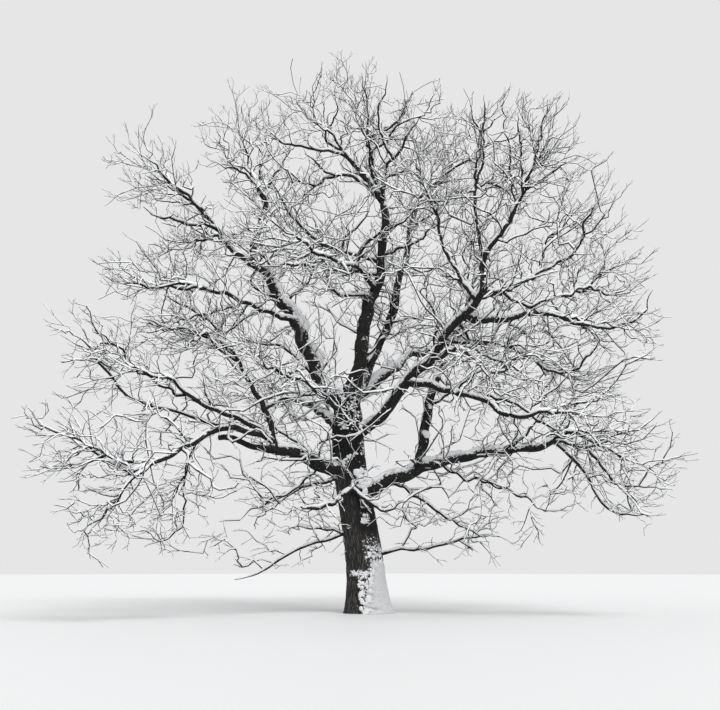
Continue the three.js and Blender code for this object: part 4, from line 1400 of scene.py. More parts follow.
class Buds:
    """The places that later twigs may leave from."""

    def __init__(self, room: int) -> None:
        """Makes room for so many buds."""
        self.count = 0
        self.point, self.heading = np.zeros((room, 3)), np.zeros((room, 3))
        self.radius, self.run, self.taken = np.zeros(room), np.zeros(room), np.zeros(room)
        self.spray, self.path, self.knot = np.zeros((3, room), int)

    def add(self, points: Array, headings: Array, radii: Array, runs: Array, spray: Array | int,
            path: int = -1, knots: Array | int = 0) -> None:
        """Adds buds, on the points of a path by number."""
        new = slice(self.count, self.count + len(points))
        self.point[new], self.heading[new], self.radius[new], self.run[new] = points, headings, radii, runs
        self.spray[new], self.path[new], self.knot[new] = spray, path, knots
        self.count = new.stop

    def best(self, target: Array, inward: float = 0.0) -> int:
        """The bud that a twig to this target leaves from.

        Args:
            target: where the twig ends.
            inward: what each metre of growing back towards the crown's middle costs.

        Returns:
            The bud that is near the target, early on its own way, and facing it.
        """
        n = self.count
        way = target - self.point[:n]
        far = np.sqrt((way * way).sum(1))
        facing = (way * self.heading[:n]).sum(1)
        cost = far + DETOUR * self.run[:n] + TURN * (far - facing) + self.taken[:n]
        if inward:
            offset = self.point[:n] - CROWN_MIDDLE
            back = np.sqrt((offset * offset).sum(1)) - np.linalg.norm(target - CROWN_MIDDLE)
            cost += inward * np.maximum(back, 0)
            cost += TURN_BACK * np.maximum(-facing, 0)
        return int(np.argmin(cost))


class Obstacles:
    """What a twig of the frame must not touch: limbs and stems as rows of points with a radius."""

    def __init__(self, rows: Sequence[tuple[Array, Array]]) -> None:
        """Keeps each row's lengths."""
        self.start = np.concatenate([points[:-1] for points, _ in rows])
        self.along = np.concatenate([np.diff(points, axis=0) for points, _ in rows])
        self.low = np.concatenate([radii[:-1] for _, radii in rows])
        self.high = np.concatenate([radii[1:] for _, radii in rows])
        self.owner = np.repeat(np.arange(len(rows)), [len(points) - 1 for points, _ in rows])

    def distance(self, points: Array, own: int) -> float:
        """The least distance from these points to any row other than their own."""
        offset = points[:, None] - self.start
        share = np.clip((offset * self.along).sum(-1) / (self.along * self.along).sum(-1), 0, 1)
        off = np.linalg.norm(offset - self.along * share[..., None], axis=-1)
        return float((off - blend(self.low, self.high, share))[:, self.owner != own].min())


@dataclass(frozen=True)
class Round:
    """One round of twigs: how many there are, and what they are like."""

    targets: float
    near: float
    crook: float
    radius: float
    tip: float
    points: int
    taken: float = 0.12
    inward: float = 1.2


class Stand:
    """Twigs that branch from one another, each from the bud that suits its target best."""

    def __init__(self, room: int, seed: int) -> None:
        """Starts with no buds."""
        self.buds = Buds(room)
        self.paths: list[Path] = []
        self.chance = np.random.default_rng(seed)

    def aimed(self, index: int, target: Array, thinnest: float, least: float) -> Twig:
        """The twig from a bud to a target."""
        buds = self.buds
        point, way = buds.point[index], target - buds.point[index]
        far = float(np.linalg.norm(way))
        leave = unit(buds.heading[index] * LEAVE_ALONG + way * (1 - LEAVE_ALONG) / far)
        lead = point + leave * far * LEAVE_LEAD - UP * SAG * far
        radius = max(buds.radius[index] * TWIG_SHARE, least)
        return Twig(point.copy(), lead, target, radius, thinnest, int(buds.spray[index]))

    def bent(self, twig: Twig, shares: Array, crook: float) -> Array:
        """Points along a twig, with crooks of about that size."""
        bends = self.chance.normal(0, crook, (len(TWIG_WAVES), 3)) * TWIG_WAVE_SHARES[:, None]
        return twig.point(shares) + np.sin(np.pi * shares[:, None] * TWIG_WAVES) @ bends

    def fill(self, targets: Array, style: Round) -> None:
        """Grows a twig to each target that isn't near a bud yet."""
        shares = np.linspace(0, 1, style.points)
        buds = self.buds
        for target in targets:
            index = buds.best(target, style.inward)
            way = target - buds.point[index]
            far = float(np.linalg.norm(way))
            if far < style.near or way @ buds.heading[index] < SHARPEST_TURN * far:
                continue
            twig = self.aimed(index, target, style.tip, style.radius)
            buds.taken[index] += style.taken
            points, radii = self.bent(twig, shares, style.crook * far), twig.thickness(shares)
            self.paths.append(Path(points, radii, twig.spray, int(buds.path[index]), int(buds.knot[index])))
            headings, runs = unit(np.gradient(points, axis=0)), buds.run[index] + shares * far
            buds.add(points[1:], headings[1:], radii[1:], runs[1:], twig.spray,
                     len(self.paths) - 1, np.arange(1, style.points))

    def thicken(self, tip: float, most: float) -> None:
        """Thickens each path by how many twigs it carries.

        Args:
            tip: the radius of the last round's tips.
            most: the greatest radius that a path may have.
        """
        carried = [np.zeros(len(path.points)) for path in self.paths]
        for index in range(len(self.paths) - 1, -1, -1):
            path = self.paths[index]
            load = 1 + np.cumsum(carried[index][::-1])[::-1]
            if path.parent >= 0:
                carried[path.parent][path.knot] += load[0]
            path.radii = np.maximum(path.radii, tip * FINEST_SHARE * load**LOAD_POWER)
        for path in self.paths:
            above = most if path.parent < 0 else self.paths[path.parent].radii[path.knot] * FORK_SHARE
            path.radii = np.minimum(path.radii, above)


class Mass(Stand):
    """A mass of twigs in its own space, grown as in the source and then carried on to finer twigs."""

    most_share = 0.95

    def __init__(self, bough: Bough, row: MassRow, index: int) -> None:
        """Starts the mass from its stem."""
        seed = MASS_SEED + MASS_SEED_STEP * index
        super().__init__(MASS_ROOM, seed)
        self.random = Seeded(seed)
        self.middle, self.half = np.array(row.middle) * MM, np.array(row.half) * MM
        self.index = index
        self.first_spray = index * SPRAYS_A_MASS
        self.twigs: list[tuple[Twig, Sequence[float], float, int, int]] = []
        self.tip_radius = float(bough.radius(1))
        self.start_stem(bough, row.twin)

    def share(self, points: Array) -> Array:
        """Distance from the middle as a share of the space's own half size."""
        return np.linalg.norm((points - self.middle) / self.half, axis=-1)

    def start_stem(self, bough: Bough, twin: int) -> None:
        """Lays the stem, which meets the bough's tip."""
        tip, heading = bough.line.point(1), bough.line.heading(1)
        start = tip + heading * STEM_GAP + unit(np.cross(heading, UP)) * (twin * self.tip_radius / 2)
        lead = start + heading * np.linalg.norm(self.middle - start) * STEM_LEAD
        radius = self.tip_radius * (TWIN_STEM_SHARE if twin else STEM_SHARE)
        self.stem = Twig(start, lead, self.middle, radius, THINNEST, self.first_spray)
        self.lay(self.stem, 0, STEM_BUDS)
        steps = np.linspace(0, 1, OBSTACLE_STEPS + 1)
        self.obstacle = self.stem.point(steps), self.stem.thickness(steps)

    def lay(self, twig: Twig, run: float, shares: Sequence[float], parent: int = -1, knot: int = 0) -> None:
        """Lays a twig of the frame, with buds on it."""
        self.twigs.append((twig, shares, run, parent, knot))
        at = np.array(shares)
        length = np.linalg.norm(twig.end - twig.start)
        self.buds.add(twig.point(at), twig.heading(at), twig.thickness(at), run + at * length, twig.spray,
                      len(self.twigs) - 1, np.arange(2, 2 + len(at)))

    def targets(self) -> list[Array]:
        """The source's targets: most are spread over the far side of the space, and the last is inside it."""
        far = self.stem.heading(1)
        spin = self.random() * 2 * math.pi
        spread = 2 * FAR_TWIGS
        units = []
        for i in range(spread):
            z = 1 - (2 * i + 1) / spread
            ring, angle = math.sqrt(1 - z * z), spin + i * GOLDEN
            way = np.array([ring * math.cos(angle), ring * math.sin(angle), z])
            if way @ far > BACKWARD:
                units.append(way * FAR_SHARE)
        for _ in range(INNER_TWIGS):
            z, angle, depth = 2 * self.random() - 1, 2 * math.pi * self.random(), self.random() ** (1 / 3)
            ring = math.sqrt(1 - z * z)
            units.append(np.array([ring * math.cos(angle), ring * math.sin(angle), z]) * depth)
        return [way * self.half + self.middle for way in units]

    def grow(self, middles: Array, halves: Array, obstacles: Obstacles, own: int) -> None:
        """Grows the frame's twigs, each where it keeps clear of the other masses and of the limbs."""
        steps = np.arange(2, CLEAR_STEPS + 1) / CLEAR_STEPS
        for number, target in enumerate(self.targets()):
            index = self.buds.best(target)
            twig = self.aimed(index, target, THINNEST, THINNEST)
            points = twig.point(steps)
            inside = self.share(points)
            others = np.linalg.norm((points[:, None] - middles) / halves, axis=-1)
            others[:, self.index] = np.inf
            if (inside > 1).any() or (others < inside[:, None] + APART).any():
                continue
            if obstacles.distance(points, own) < CLEARANCE:
                continue
            self.buds.taken[index] = np.inf
            twig.spray = self.first_spray + 1 + number
            self.lay(twig, float(self.buds.run[index]), TWIG_BUDS, int(self.buds.path[index]),
                     int(self.buds.knot[index]))

    def carry_on(self, rounds: Sequence[Round], crown: "CrownSpace") -> None:
        """Lays the frame's twigs as paths, and grows finer twigs from them within the same space."""
        frame_twigs, self.buds = self.twigs, Buds(len(self.buds.run))
        for index, (twig, shares, run, parent, knot) in enumerate(frame_twigs):
            at = np.array([0, shares[0] / 2, *shares, 1])
            length = np.linalg.norm(twig.end - twig.start)
            shift = self.paths[parent].points[knot] - twig.start if parent >= 0 else np.zeros(3)
            points = self.bent(twig, at, FRAME_CROOK * length) + shift * (1 - at)[:, None]
            radii = twig.thickness(at)
            self.paths.append(Path(points, radii, twig.spray, parent, knot))
            self.buds.add(points[2:], twig.heading(at)[2:], radii[2:], run + at[2:] * length, twig.spray,
                          index, np.arange(2, len(at)))
        for style in rounds:
            count = int(style.targets * (self.half.prod() / MIDDLING_SPACE) ** SPACE_POWER)
            ways_out = unit(self.chance.normal(0, 1, (count, 3)))
            depth = self.chance.uniform(LEAST_DEPTH, 1, count) ** MASS_DEPTH
            targets = ways_out * depth[:, None] * self.half * FAR_SHARE + self.middle
            self.fill(targets[~crown.opens(targets)], style)
        self.thicken(rounds[-1].tip, self.tip_radius * self.most_share)


class LimbSprays(Stand):
    """Sprays of twigs along a limb, between its foot and the masses at its tip."""

    bud_step, fewest_buds = 0.22, 3
    bud_lift, bud_lean, bud_seat = 0.25, 0.9, 0.5
    bud_share, bud_most = 0.7, 0.028
    away_lift, away_near, away_far, away_more = 0.22, 1.4, 3.4, 0.5
    along_span = (-0.2, 0.7)
    inset = 0.1
    most_at, most_share = 0.8, 0.75

    def __init__(self, limb: Trunk | Bough, seed: int, first_share: float) -> None:
        """Sets buds along the limb.

        Args:
            limb: what the sprays leave.
            seed: what fixes them.
            first_share: how far along the limb the first of them stand.
        """
        self.limb, self.first_share = limb, first_share
        self.dressed = limb.length * (1 - first_share)
        steps = max(self.fewest_buds, int(self.dressed / self.bud_step))
        super().__init__(SPRAY_ROOM, seed)
        shares = np.linspace(first_share, 1, steps)
        ways_on = ways(limb.path, shares)
        out = unit(np.cross(ways_on, self.chance.normal(0, 1, (steps, 3))) + self.bud_lift * UP)
        radii = limb.radius(shares)
        first = SPRAYS_OF_LIMBS + seed * SPRAYS_A_LIMB
        self.buds.add(limb.path(shares) + out * radii[:, None] * self.bud_seat,
                      unit(ways_on * self.bud_lean + out), np.minimum(radii * self.bud_share, self.bud_most),
                      np.zeros(steps), first + np.arange(steps))

    def grow(self, crown: "CrownSpace", rounds: Sequence[Round]) -> None:
        """Grows the sprays to targets round the limb."""
        for style in rounds:
            count = max(1, int(self.dressed * style.targets))
            shares = self.chance.uniform(self.first_share, 1, count)
            away = unit(self.chance.normal(0, 1, (count, 3)) + UP * self.away_lift)
            low, high = style.near * self.away_near, style.near * self.away_far + self.away_more
            off = self.chance.uniform(low, high, count)[:, None]
            along = ways(self.limb.path, shares) * self.chance.uniform(*self.along_span, (count, 1))
            targets = self.limb.path(shares) + away * off + along
            kept = crown.holds(targets, self.inset) & crown.thinned(targets, self.chance)
            self.fill(targets[kept], style)
        self.thicken(rounds[-1].tip, float(self.limb.radius(self.most_at)) * self.most_share)


@dataclass(frozen=True)
class CrownSpace:
    """The space that twigs keep to: the frame's box above the ground, and in it the masses' own outline."""

    low: Array
    high: Array
    middles: Array
    halves: Array
    lowest: float = 1.3
    outline_share: float = 0.99
    thinning: float = 0.62
    thinned_shares: Span = (0.5, 0.95)
    thinned_heights: Span = (5, 9)
    top_share: float = 0.6
    top_heights: Span = (12.5, 15)

    def holds(self, points: Array, inset: float = 0.0) -> Array:
        """Which points lie inside, by at least an inset."""
        inside = ((points > self.low + inset) & (points < self.high - inset)).all(-1)
        return inside & (points[..., 2] > self.lowest)

    def opens(self, points: Array) -> Array:
        """Which points lie in the crown's openings, where the photograph shows sky."""
        offset = points - EYE
        seen = EYE + offset * (-EYE[1] / offset[..., 1:2])
        off = np.linalg.norm(seen[..., None, ::2] - SKY_GAPS[:, :2], axis=-1)
        return (off < SKY_GAPS[:, 2]).any(-1)

    def thinned(self, points: Array, chance: np.random.Generator) -> Array:
        """Which points lie inside the outline that the masses give the crown, fewer of them towards it."""
        offset, height = points - CROWN_MIDDLE, points[:, 2]
        way = unit(offset)
        outline = way @ (self.middles - CROWN_MIDDLE).T + np.linalg.norm(way[:, None] * self.halves, axis=-1)
        share = np.linalg.norm(offset, axis=-1) / outline.max(1)
        by_share = self.thinning * ease(*self.thinned_shares, share) * ease(*self.thinned_heights, height)
        dropped = 1 - (1 - by_share) * blend(1, self.top_share, ease(*self.top_heights, height))
        kept = chance.random(len(points)) > dropped
        return kept & (share < self.outline_share) & ~self.opens(points)


@dataclass(frozen=True)
class Shoots:
    """Fine shoots that leave a parent to either side in turn, and lift towards the light."""

    spacing: float
    shortest: float
    longest: float
    radius: float
    tip: float
    points: int
    lift: float = 0.22
    outward: float = 0.5
    lean: Span = (26, 52)
    first: float = 0.48
    last: float = 0.985
    side_scatter: float = 0.25
    out_scatter: float = 0.4
    shortening: Span = (1.1, 0.75)
    girth_share: float = 0.75
    least_share: float = 1.2
    bend: float = 0.45
    bend_outward: float = 0.6
    bend_scatter: float = 0.16

    def footholds(self, parents: Sequence[Path], chance: np.random.Generator) -> list[Array]:
        """Where shoots stand.

        Args:
            parents: the paths that carry them.
            chance: what moves the first of each parent along it.

        Returns:
            Each shoot's foot, then its parent's way and radius there, spray, and share of its length.
        """
        found = []
        for parent in parents:
            steps = np.diff(parent.points, axis=0)
            lengths = np.sqrt((steps * steps).sum(1))
            runs = np.concatenate([[0], np.cumsum(lengths)])
            first = self.first * self.spacing + chance.uniform(0, self.spacing)
            at = np.arange(first, runs[-1], self.spacing)
            if not len(at):
                continue
            at = np.append(at, runs[-1] * self.last)
            piece = np.clip(np.searchsorted(runs, at, side="right") - 1, 0, len(lengths) - 1)
            part = (at - runs[piece]) / lengths[piece]
            found.append((
                parent.points[piece] + steps[piece] * part[:, None], steps[piece] / lengths[piece][:, None],
                blend(parent.radii[piece], parent.radii[piece + 1], part),
                np.full(len(at), parent.spray), at / runs[-1]))
        return [np.concatenate(column) for column in zip(*found)]

    def grow(self, parents: Sequence[Path], seed: int, crown: CrownSpace) -> list[Path]:
        """Grows the shoots.

        Args:
            parents: the paths that carry them.
            seed: what fixes them.
            crown: the space that they keep to.

        Returns:
            The shoots' paths.
        """
        chance = np.random.default_rng(seed)
        foot, way, girth, spray, share = self.footholds(parents, chance)
        count = len(foot)
        side = unit(np.cross(way, UP) + chance.normal(0, self.side_scatter, (count, 3)))
        side *= np.where(np.arange(count) % 2, 1, -1)[:, None]
        outward = unit(foot - CROWN_MIDDLE) * self.outward
        out = unit(side + chance.normal(0, self.out_scatter, (count, 3)) + UP * self.lift + outward)
        lean = np.radians(chance.uniform(*self.lean, count))[:, None]
        leave = unit(way * np.cos(lean) + out * np.sin(lean))
        length = chance.uniform(self.shortest, self.longest, count) * blend(*self.shortening, share)
        radius = np.clip(girth * self.girth_share, self.tip * self.least_share, self.radius)
        bend = UP * self.lift + outward * self.bend_outward + chance.normal(0, self.bend_scatter, (count, 3))
        steps = np.linspace(0, 1, self.points)
        points = (foot[:, None] + leave[:, None] * (length[:, None] * steps)[..., None]
                  + bend[:, None] * (length[:, None] * steps**2)[..., None] * self.bend)
        radii = blend(radius[:, None], self.tip, steps)
        keep = crown.holds(points).all(1) & ~crown.opens(points[:, -1])
        return [Path(*items) for items in zip(points[keep], radii[keep], spray[keep])]


@dataclass(frozen=True)
class TwigSnow:
    """Snow that lies along twigs, thinner where they stand steeper."""

    snowfall: Snowfall
    least: float = 0.3
    width: float = 1.6
    thinnest: float = 0.011
    steep_share: float = 0.45
    twig_seat: float = 0.75
    snow_seat: float = 0.55

    def settle(self, paths: Sequence[Path], share: float, seed: int) -> list[Path]:
        """The snow on that share of the paths, as tubes of their own."""
        chance = np.random.default_rng(seed)
        snow = []
        for path in paths:
            bed, lies = self.snowfall.bed(unit(np.gradient(path.points, axis=0)))
            if lies.mean() < self.least or chance.random() > share:
                continue
            radii = np.maximum(path.radii * self.width, self.thinnest) * blend(self.steep_share, 1, lies)
            points = path.points + bed * (path.radii * self.twig_seat + radii * self.snow_seat)[:, None]
            snow.append(Path(points, radii, path.spray))
        return snow


def triangles_of(path: Path) -> int:
    """How many triangles a path's tube has."""
    return (len(path.points) - 1) * 2 * TUBE_SIDES + 2 * (TUBE_SIDES - 2)


def batches(paths: Sequence[Path], most: int) -> list[list[Path]]:
    """Paths in their order, in batches of at most so many triangles."""
    found: list[list[Path]] = [[]]
    total = 0
    for path in paths:
        total += triangles_of(path)
        if total > most:
            found.append([])
            total = triangles_of(path)
        found[-1].append(path)
    return found


def lines_object(paths: Sequence[Path], tints: int) -> bpy.types.Object:
    """Paths as edges that carry their thickness, and a tint dealt out by spray."""
    sizes = np.array([len(path.points) for path in paths])
    points = np.concatenate([path.points for path in paths])
    ends = np.cumsum(sizes)
    first = np.setdiff1d(np.arange(len(points)), ends - 1)
    mesh = bpy.data.meshes.new("lines")
    mesh.vertices.add(len(points))
    mesh.vertices.foreach_set("co", points.astype(np.float32).ravel())
    mesh.edges.add(len(first))
    mesh.edges.foreach_set("vertices", np.stack([first, first + 1], 1).astype(np.int32).ravel())
    mesh.update()
    carry(mesh, "thickness", np.concatenate([path.radii for path in paths]))
    dealt = np.array([(path.spray * TINT_STEP + path.spray // TINT_SHIFT) % tints for path in paths])
    carry(mesh, "tint", np.repeat(dealt, sizes).astype(float))
    piece = bpy.data.objects.new("lines", mesh)
    bpy.context.scene.collection.objects.link(piece)
    return piece


@dataclass(frozen=True)
class Mound:
    """A clump of snow that sits against wood."""

    centre: Array
    out: Array
    half: Triple
    seed: int
    sides: int = 8
    rings: int = 5
    oval: float = 0.12
    lobes: float = 0.1
    plump_share: float = 0.3

    def skin(self) -> Skin:
        """Its skin: a lumpy egg with its depth along out, its width across it and its height."""
        out = unit(np.asarray(self.out, float))
        across = unit(np.cross(UP if abs(out[2]) < NEARLY_ALONG else np.array([1.0, 0, 0]), out))
        over = np.cross(out, across)
        lift = np.linspace(-np.pi / 2, np.pi / 2, self.rings + 2)[1:-1]
        turn = np.linspace(0, 2 * np.pi, self.sides, endpoint=False)
        first, second = np.random.default_rng(self.seed).uniform(0, LAST_PHASE, 2)
        lump = (1 + self.oval * np.sin(turn * 2 + first)
                + self.lobes * np.sin(turn * 3 + second + lift[:, None] * 2))
        ring = np.cos(lift)[:, None] * lump
        points = (np.asarray(self.centre)
                  + across * (self.half[1] * ring * np.cos(turn))[..., None]
                  + over * (self.half[2] * ring * np.sin(turn))[..., None]
                  + out * (self.half[0] * np.broadcast_to(np.sin(lift)[:, None], ring.shape))[..., None])
        return rings_skin(points, {"plump": np.full(ring.shape, min(self.half) * self.plump_share)})


@dataclass(frozen=True)
class Cluster:
    """Lumps of snow caught on the trunk round one place, which climb to one side."""

    height: float
    bearing: float
    half_height: float
    half_width: float
    lump: float
    count: int
    climb: float = 0.0
    sizes: Span = (0.45, 1.25)
    widths: Span = (0.7, 1.5)
    heights: Span = (0.6, 1.1)
    depth: float = 0.55
    sunk: float = 0.1

    def lumps(self, trunk: Trunk, seed: int) -> list[Mound]:
        """The lumps, which sit in the bark."""
        chance = np.random.default_rng(seed)
        found = []
        for number in range(self.count):
            across, over = chance.uniform(-1, 1, 2)
            height = self.height + over * self.half_height + across * self.climb
            radius = float(trunk.radius(height / trunk.rise))
            angle = math.radians(self.bearing) + across * self.half_width / radius
            out = np.array([math.cos(angle), math.sin(angle), 0])
            size = self.lump * chance.uniform(*self.sizes)
            centre = trunk.line.point(height / trunk.rise) + out * (radius - size * self.sunk)
            width, tall = chance.uniform(*self.widths), chance.uniform(*self.heights)
            half = (size * self.depth, size * width, size * tall)
            found.append(Mound(centre, out, half, seed * LUMP_SEED_STEP + number))
        return found


TRUNK_CLUSTERS = (
    Cluster(4.3, -148, 0.04, 0.14, 0.05, 14, climb=0.03),
    Cluster(4.42, -108, 0.05, 0.2, 0.05, 18, climb=0.05),
    Cluster(4.6, -76, 0.05, 0.16, 0.05, 14, climb=0.08),
    Cluster(3.75, -36, 0.42, 0.3, 0.1, 60),
    Cluster(2.74, -68, 0.12, 0.11, 0.06, 14),
    Cluster(3.06, -60, 0.03, 0.15, 0.04, 10),
    Cluster(3.28, -54, 0.03, 0.14, 0.035, 9),
    Cluster(1.14, -106, 0.05, 0.3, 0.04, 26),
    Cluster(5.9, -84, 0.55, 0.34, 0.035, 70),
    Cluster(5.0, -30, 0.4, 0.1, 0.03, 16),
    Cluster(0.7, -92, 0.42, 0.2, 0.045, 90, climb=0.2),
    Cluster(1.6, -48, 0.3, 0.3, 0.04, 44),
)


@dataclass(frozen=True)
class FootDrift:
    """The wedge of snow packed against the trunk's foot, with a ragged edge to either side."""

    trunk: Trunk
    rings: int = 76
    columns: int = 40
    bearing: float = -35
    half_turn: float = 54
    height: float = 1.5
    foot: float = 0.09
    top: float = 0.025
    thinning_power: float = 0.55
    buried: float = 0.07
    narrowing: float = 0.55
    edge: float = 0.85
    near_edge: Triple = (0.5, 5, 110)
    far_edge: Triple = (0.1, 5, 60)
    rounded_top: float = 0.12
    top_left: float = 0.02
    plump_share: float = 0.35
    plump_from: float = 0.06

    def skin(self) -> Skin:
        """The drift's skin: its face, and its back inside the trunk."""
        share = np.linspace(0, 1, self.rings)[:, None]
        edge = np.linspace(-1, 1, self.columns)[None]
        z = share * self.height
        (near, *near_paces), (far, *far_paces) = self.near_edge, self.far_edge
        ragged = (1 + near * waver(z, DRIFT_SEEDS[0], *near_paces) * (edge < 0)
                  + far * waver(z, DRIFT_SEEDS[1], *far_paces) * (edge > 0))
        angle = np.radians(self.bearing + edge * self.half_turn * (1 - self.narrowing * share) * ragged)
        depth = (blend(self.foot, self.top, share**self.thinning_power) * (1 - self.edge * edge**2)
                 * ease(0, self.rounded_top, 1 - share + self.top_left))
        at = z / self.trunk.rise
        bare = self.trunk.radius_towards(at, angle)
        out = level_ways(angle)
        axis = self.trunk.line.point(at[:, 0])[:, None]
        outer = axis + out * (bare + depth)[..., None]
        inner = axis + out[:, ::-1] * (bare - self.buried)[:, ::-1, None]
        plump = np.concatenate([depth * self.plump_share, np.zeros_like(depth)], 1)
        plump *= ease(0, self.plump_from, share)
        return rings_skin(np.concatenate([outer, inner], 1), {"plump": plump})


@dataclass(frozen=True)
class CrotchSnow:
    """Clumps of snow in the crotches of the stouter limbs."""

    limbs: dict[str, Trunk | Bough]
    least_girth: float = 0.17
    latest: float = 0.98
    least_lift: float = 0.25
    own_run: float = 0.15
    own_share: float = 0.3
    least_angle: float = 0.35
    farthest: float = 0.7
    girth_share: float = 0.26
    least_size: float = 0.02
    clumps: int = 4
    reach_span: Span = (0.8, 1.15)
    scatter: float = 0.4
    half_shares: Triple = (0.7, 1, 0.9)

    def mounds(self) -> list[Mound]:
        """The clumps."""
        found = []
        for seed, limb in enumerate(self.limbs.values()):
            if isinstance(limb, Trunk) or limb.girth < self.least_girth:
                continue
            parent, at = self.limbs[limb.line.row.parent], limb.line.row.at
            parent_way = ways(parent.path, at)
            own_way = ways(limb.path, min(self.own_share, (limb.buried + self.own_run) / limb.length))
            middle = unit(parent_way + own_way)
            if middle[2] < self.least_lift or at > self.latest:
                continue
            half_angle = math.acos(float(np.clip(parent_way @ own_way, -1, 1))) / 2
            reach = float(parent.radius(at)) / math.sin(max(self.least_angle, half_angle))
            size = self.girth_share * limb.girth + self.least_size
            half = tuple(size * share for share in self.half_shares)
            chance = np.random.default_rng(seed)
            for number in range(self.clumps):
                away = min(reach, self.farthest) * blend(*self.reach_span, number / (self.clumps - 1))
                centre = parent.path(at) + middle * away + chance.normal(0, size * self.scatter, 3)
                found.append(Mound(centre, unit(middle + UP), half, seed * self.clumps + number))
        return found


@dataclass(frozen=True)
class Studio:
    """The photograph's eye, a pale floor, and the soft light of a dull winter's day."""

    lens: float = 48.95
    pitch: float = 11.87
    sky: float = 0.79
    sun: float = 2.1
    sun_spread: float = 25
    sun_tilt: Triple = (28, 20, 0)
    floor_radius: float = 90
    floor_corners: int = 96
    floor_colour: Colour = (0.68, 0.685, 0.69)

    def build(self) -> None:
        """Sets the camera, the light and the floor."""
        scene = bpy.context.scene
        scene.view_settings.view_transform = "Standard"
        camera = bpy.data.objects.new("eye", bpy.data.cameras.new("eye"))
        camera.data.lens = self.lens
        camera.location = EYE
        camera.rotation_euler = (math.radians(90 + self.pitch), 0, 0)
        scene.collection.objects.link(camera)
        scene.camera = camera
        world = bpy.data.worlds.new("sky")
        world.use_nodes = True
        world.node_tree.nodes["Background"].inputs["Color"].default_value = (self.sky,) * 3 + (1,)
        scene.world = world
        sun = bpy.data.objects.new("sun", bpy.data.lights.new("sun", "SUN"))
        sun.data.energy = self.sun
        sun.data.angle = math.radians(self.sun_spread)
        sun.rotation_euler = [math.radians(turn) for turn in self.sun_tilt]
        scene.collection.objects.link(sun)
        mesh = bpy.data.meshes.new("floor")
        rim = level_ways(np.linspace(0, 2 * np.pi, self.floor_corners, endpoint=False)) * self.floor_radius
        mesh.from_pydata(rim.tolist(), [], [list(range(self.floor_corners))])
        floor = show(mesh, "floor")
        floor.data.materials.append(SnowFinish("floor", self.floor_colour, textured=False).make())


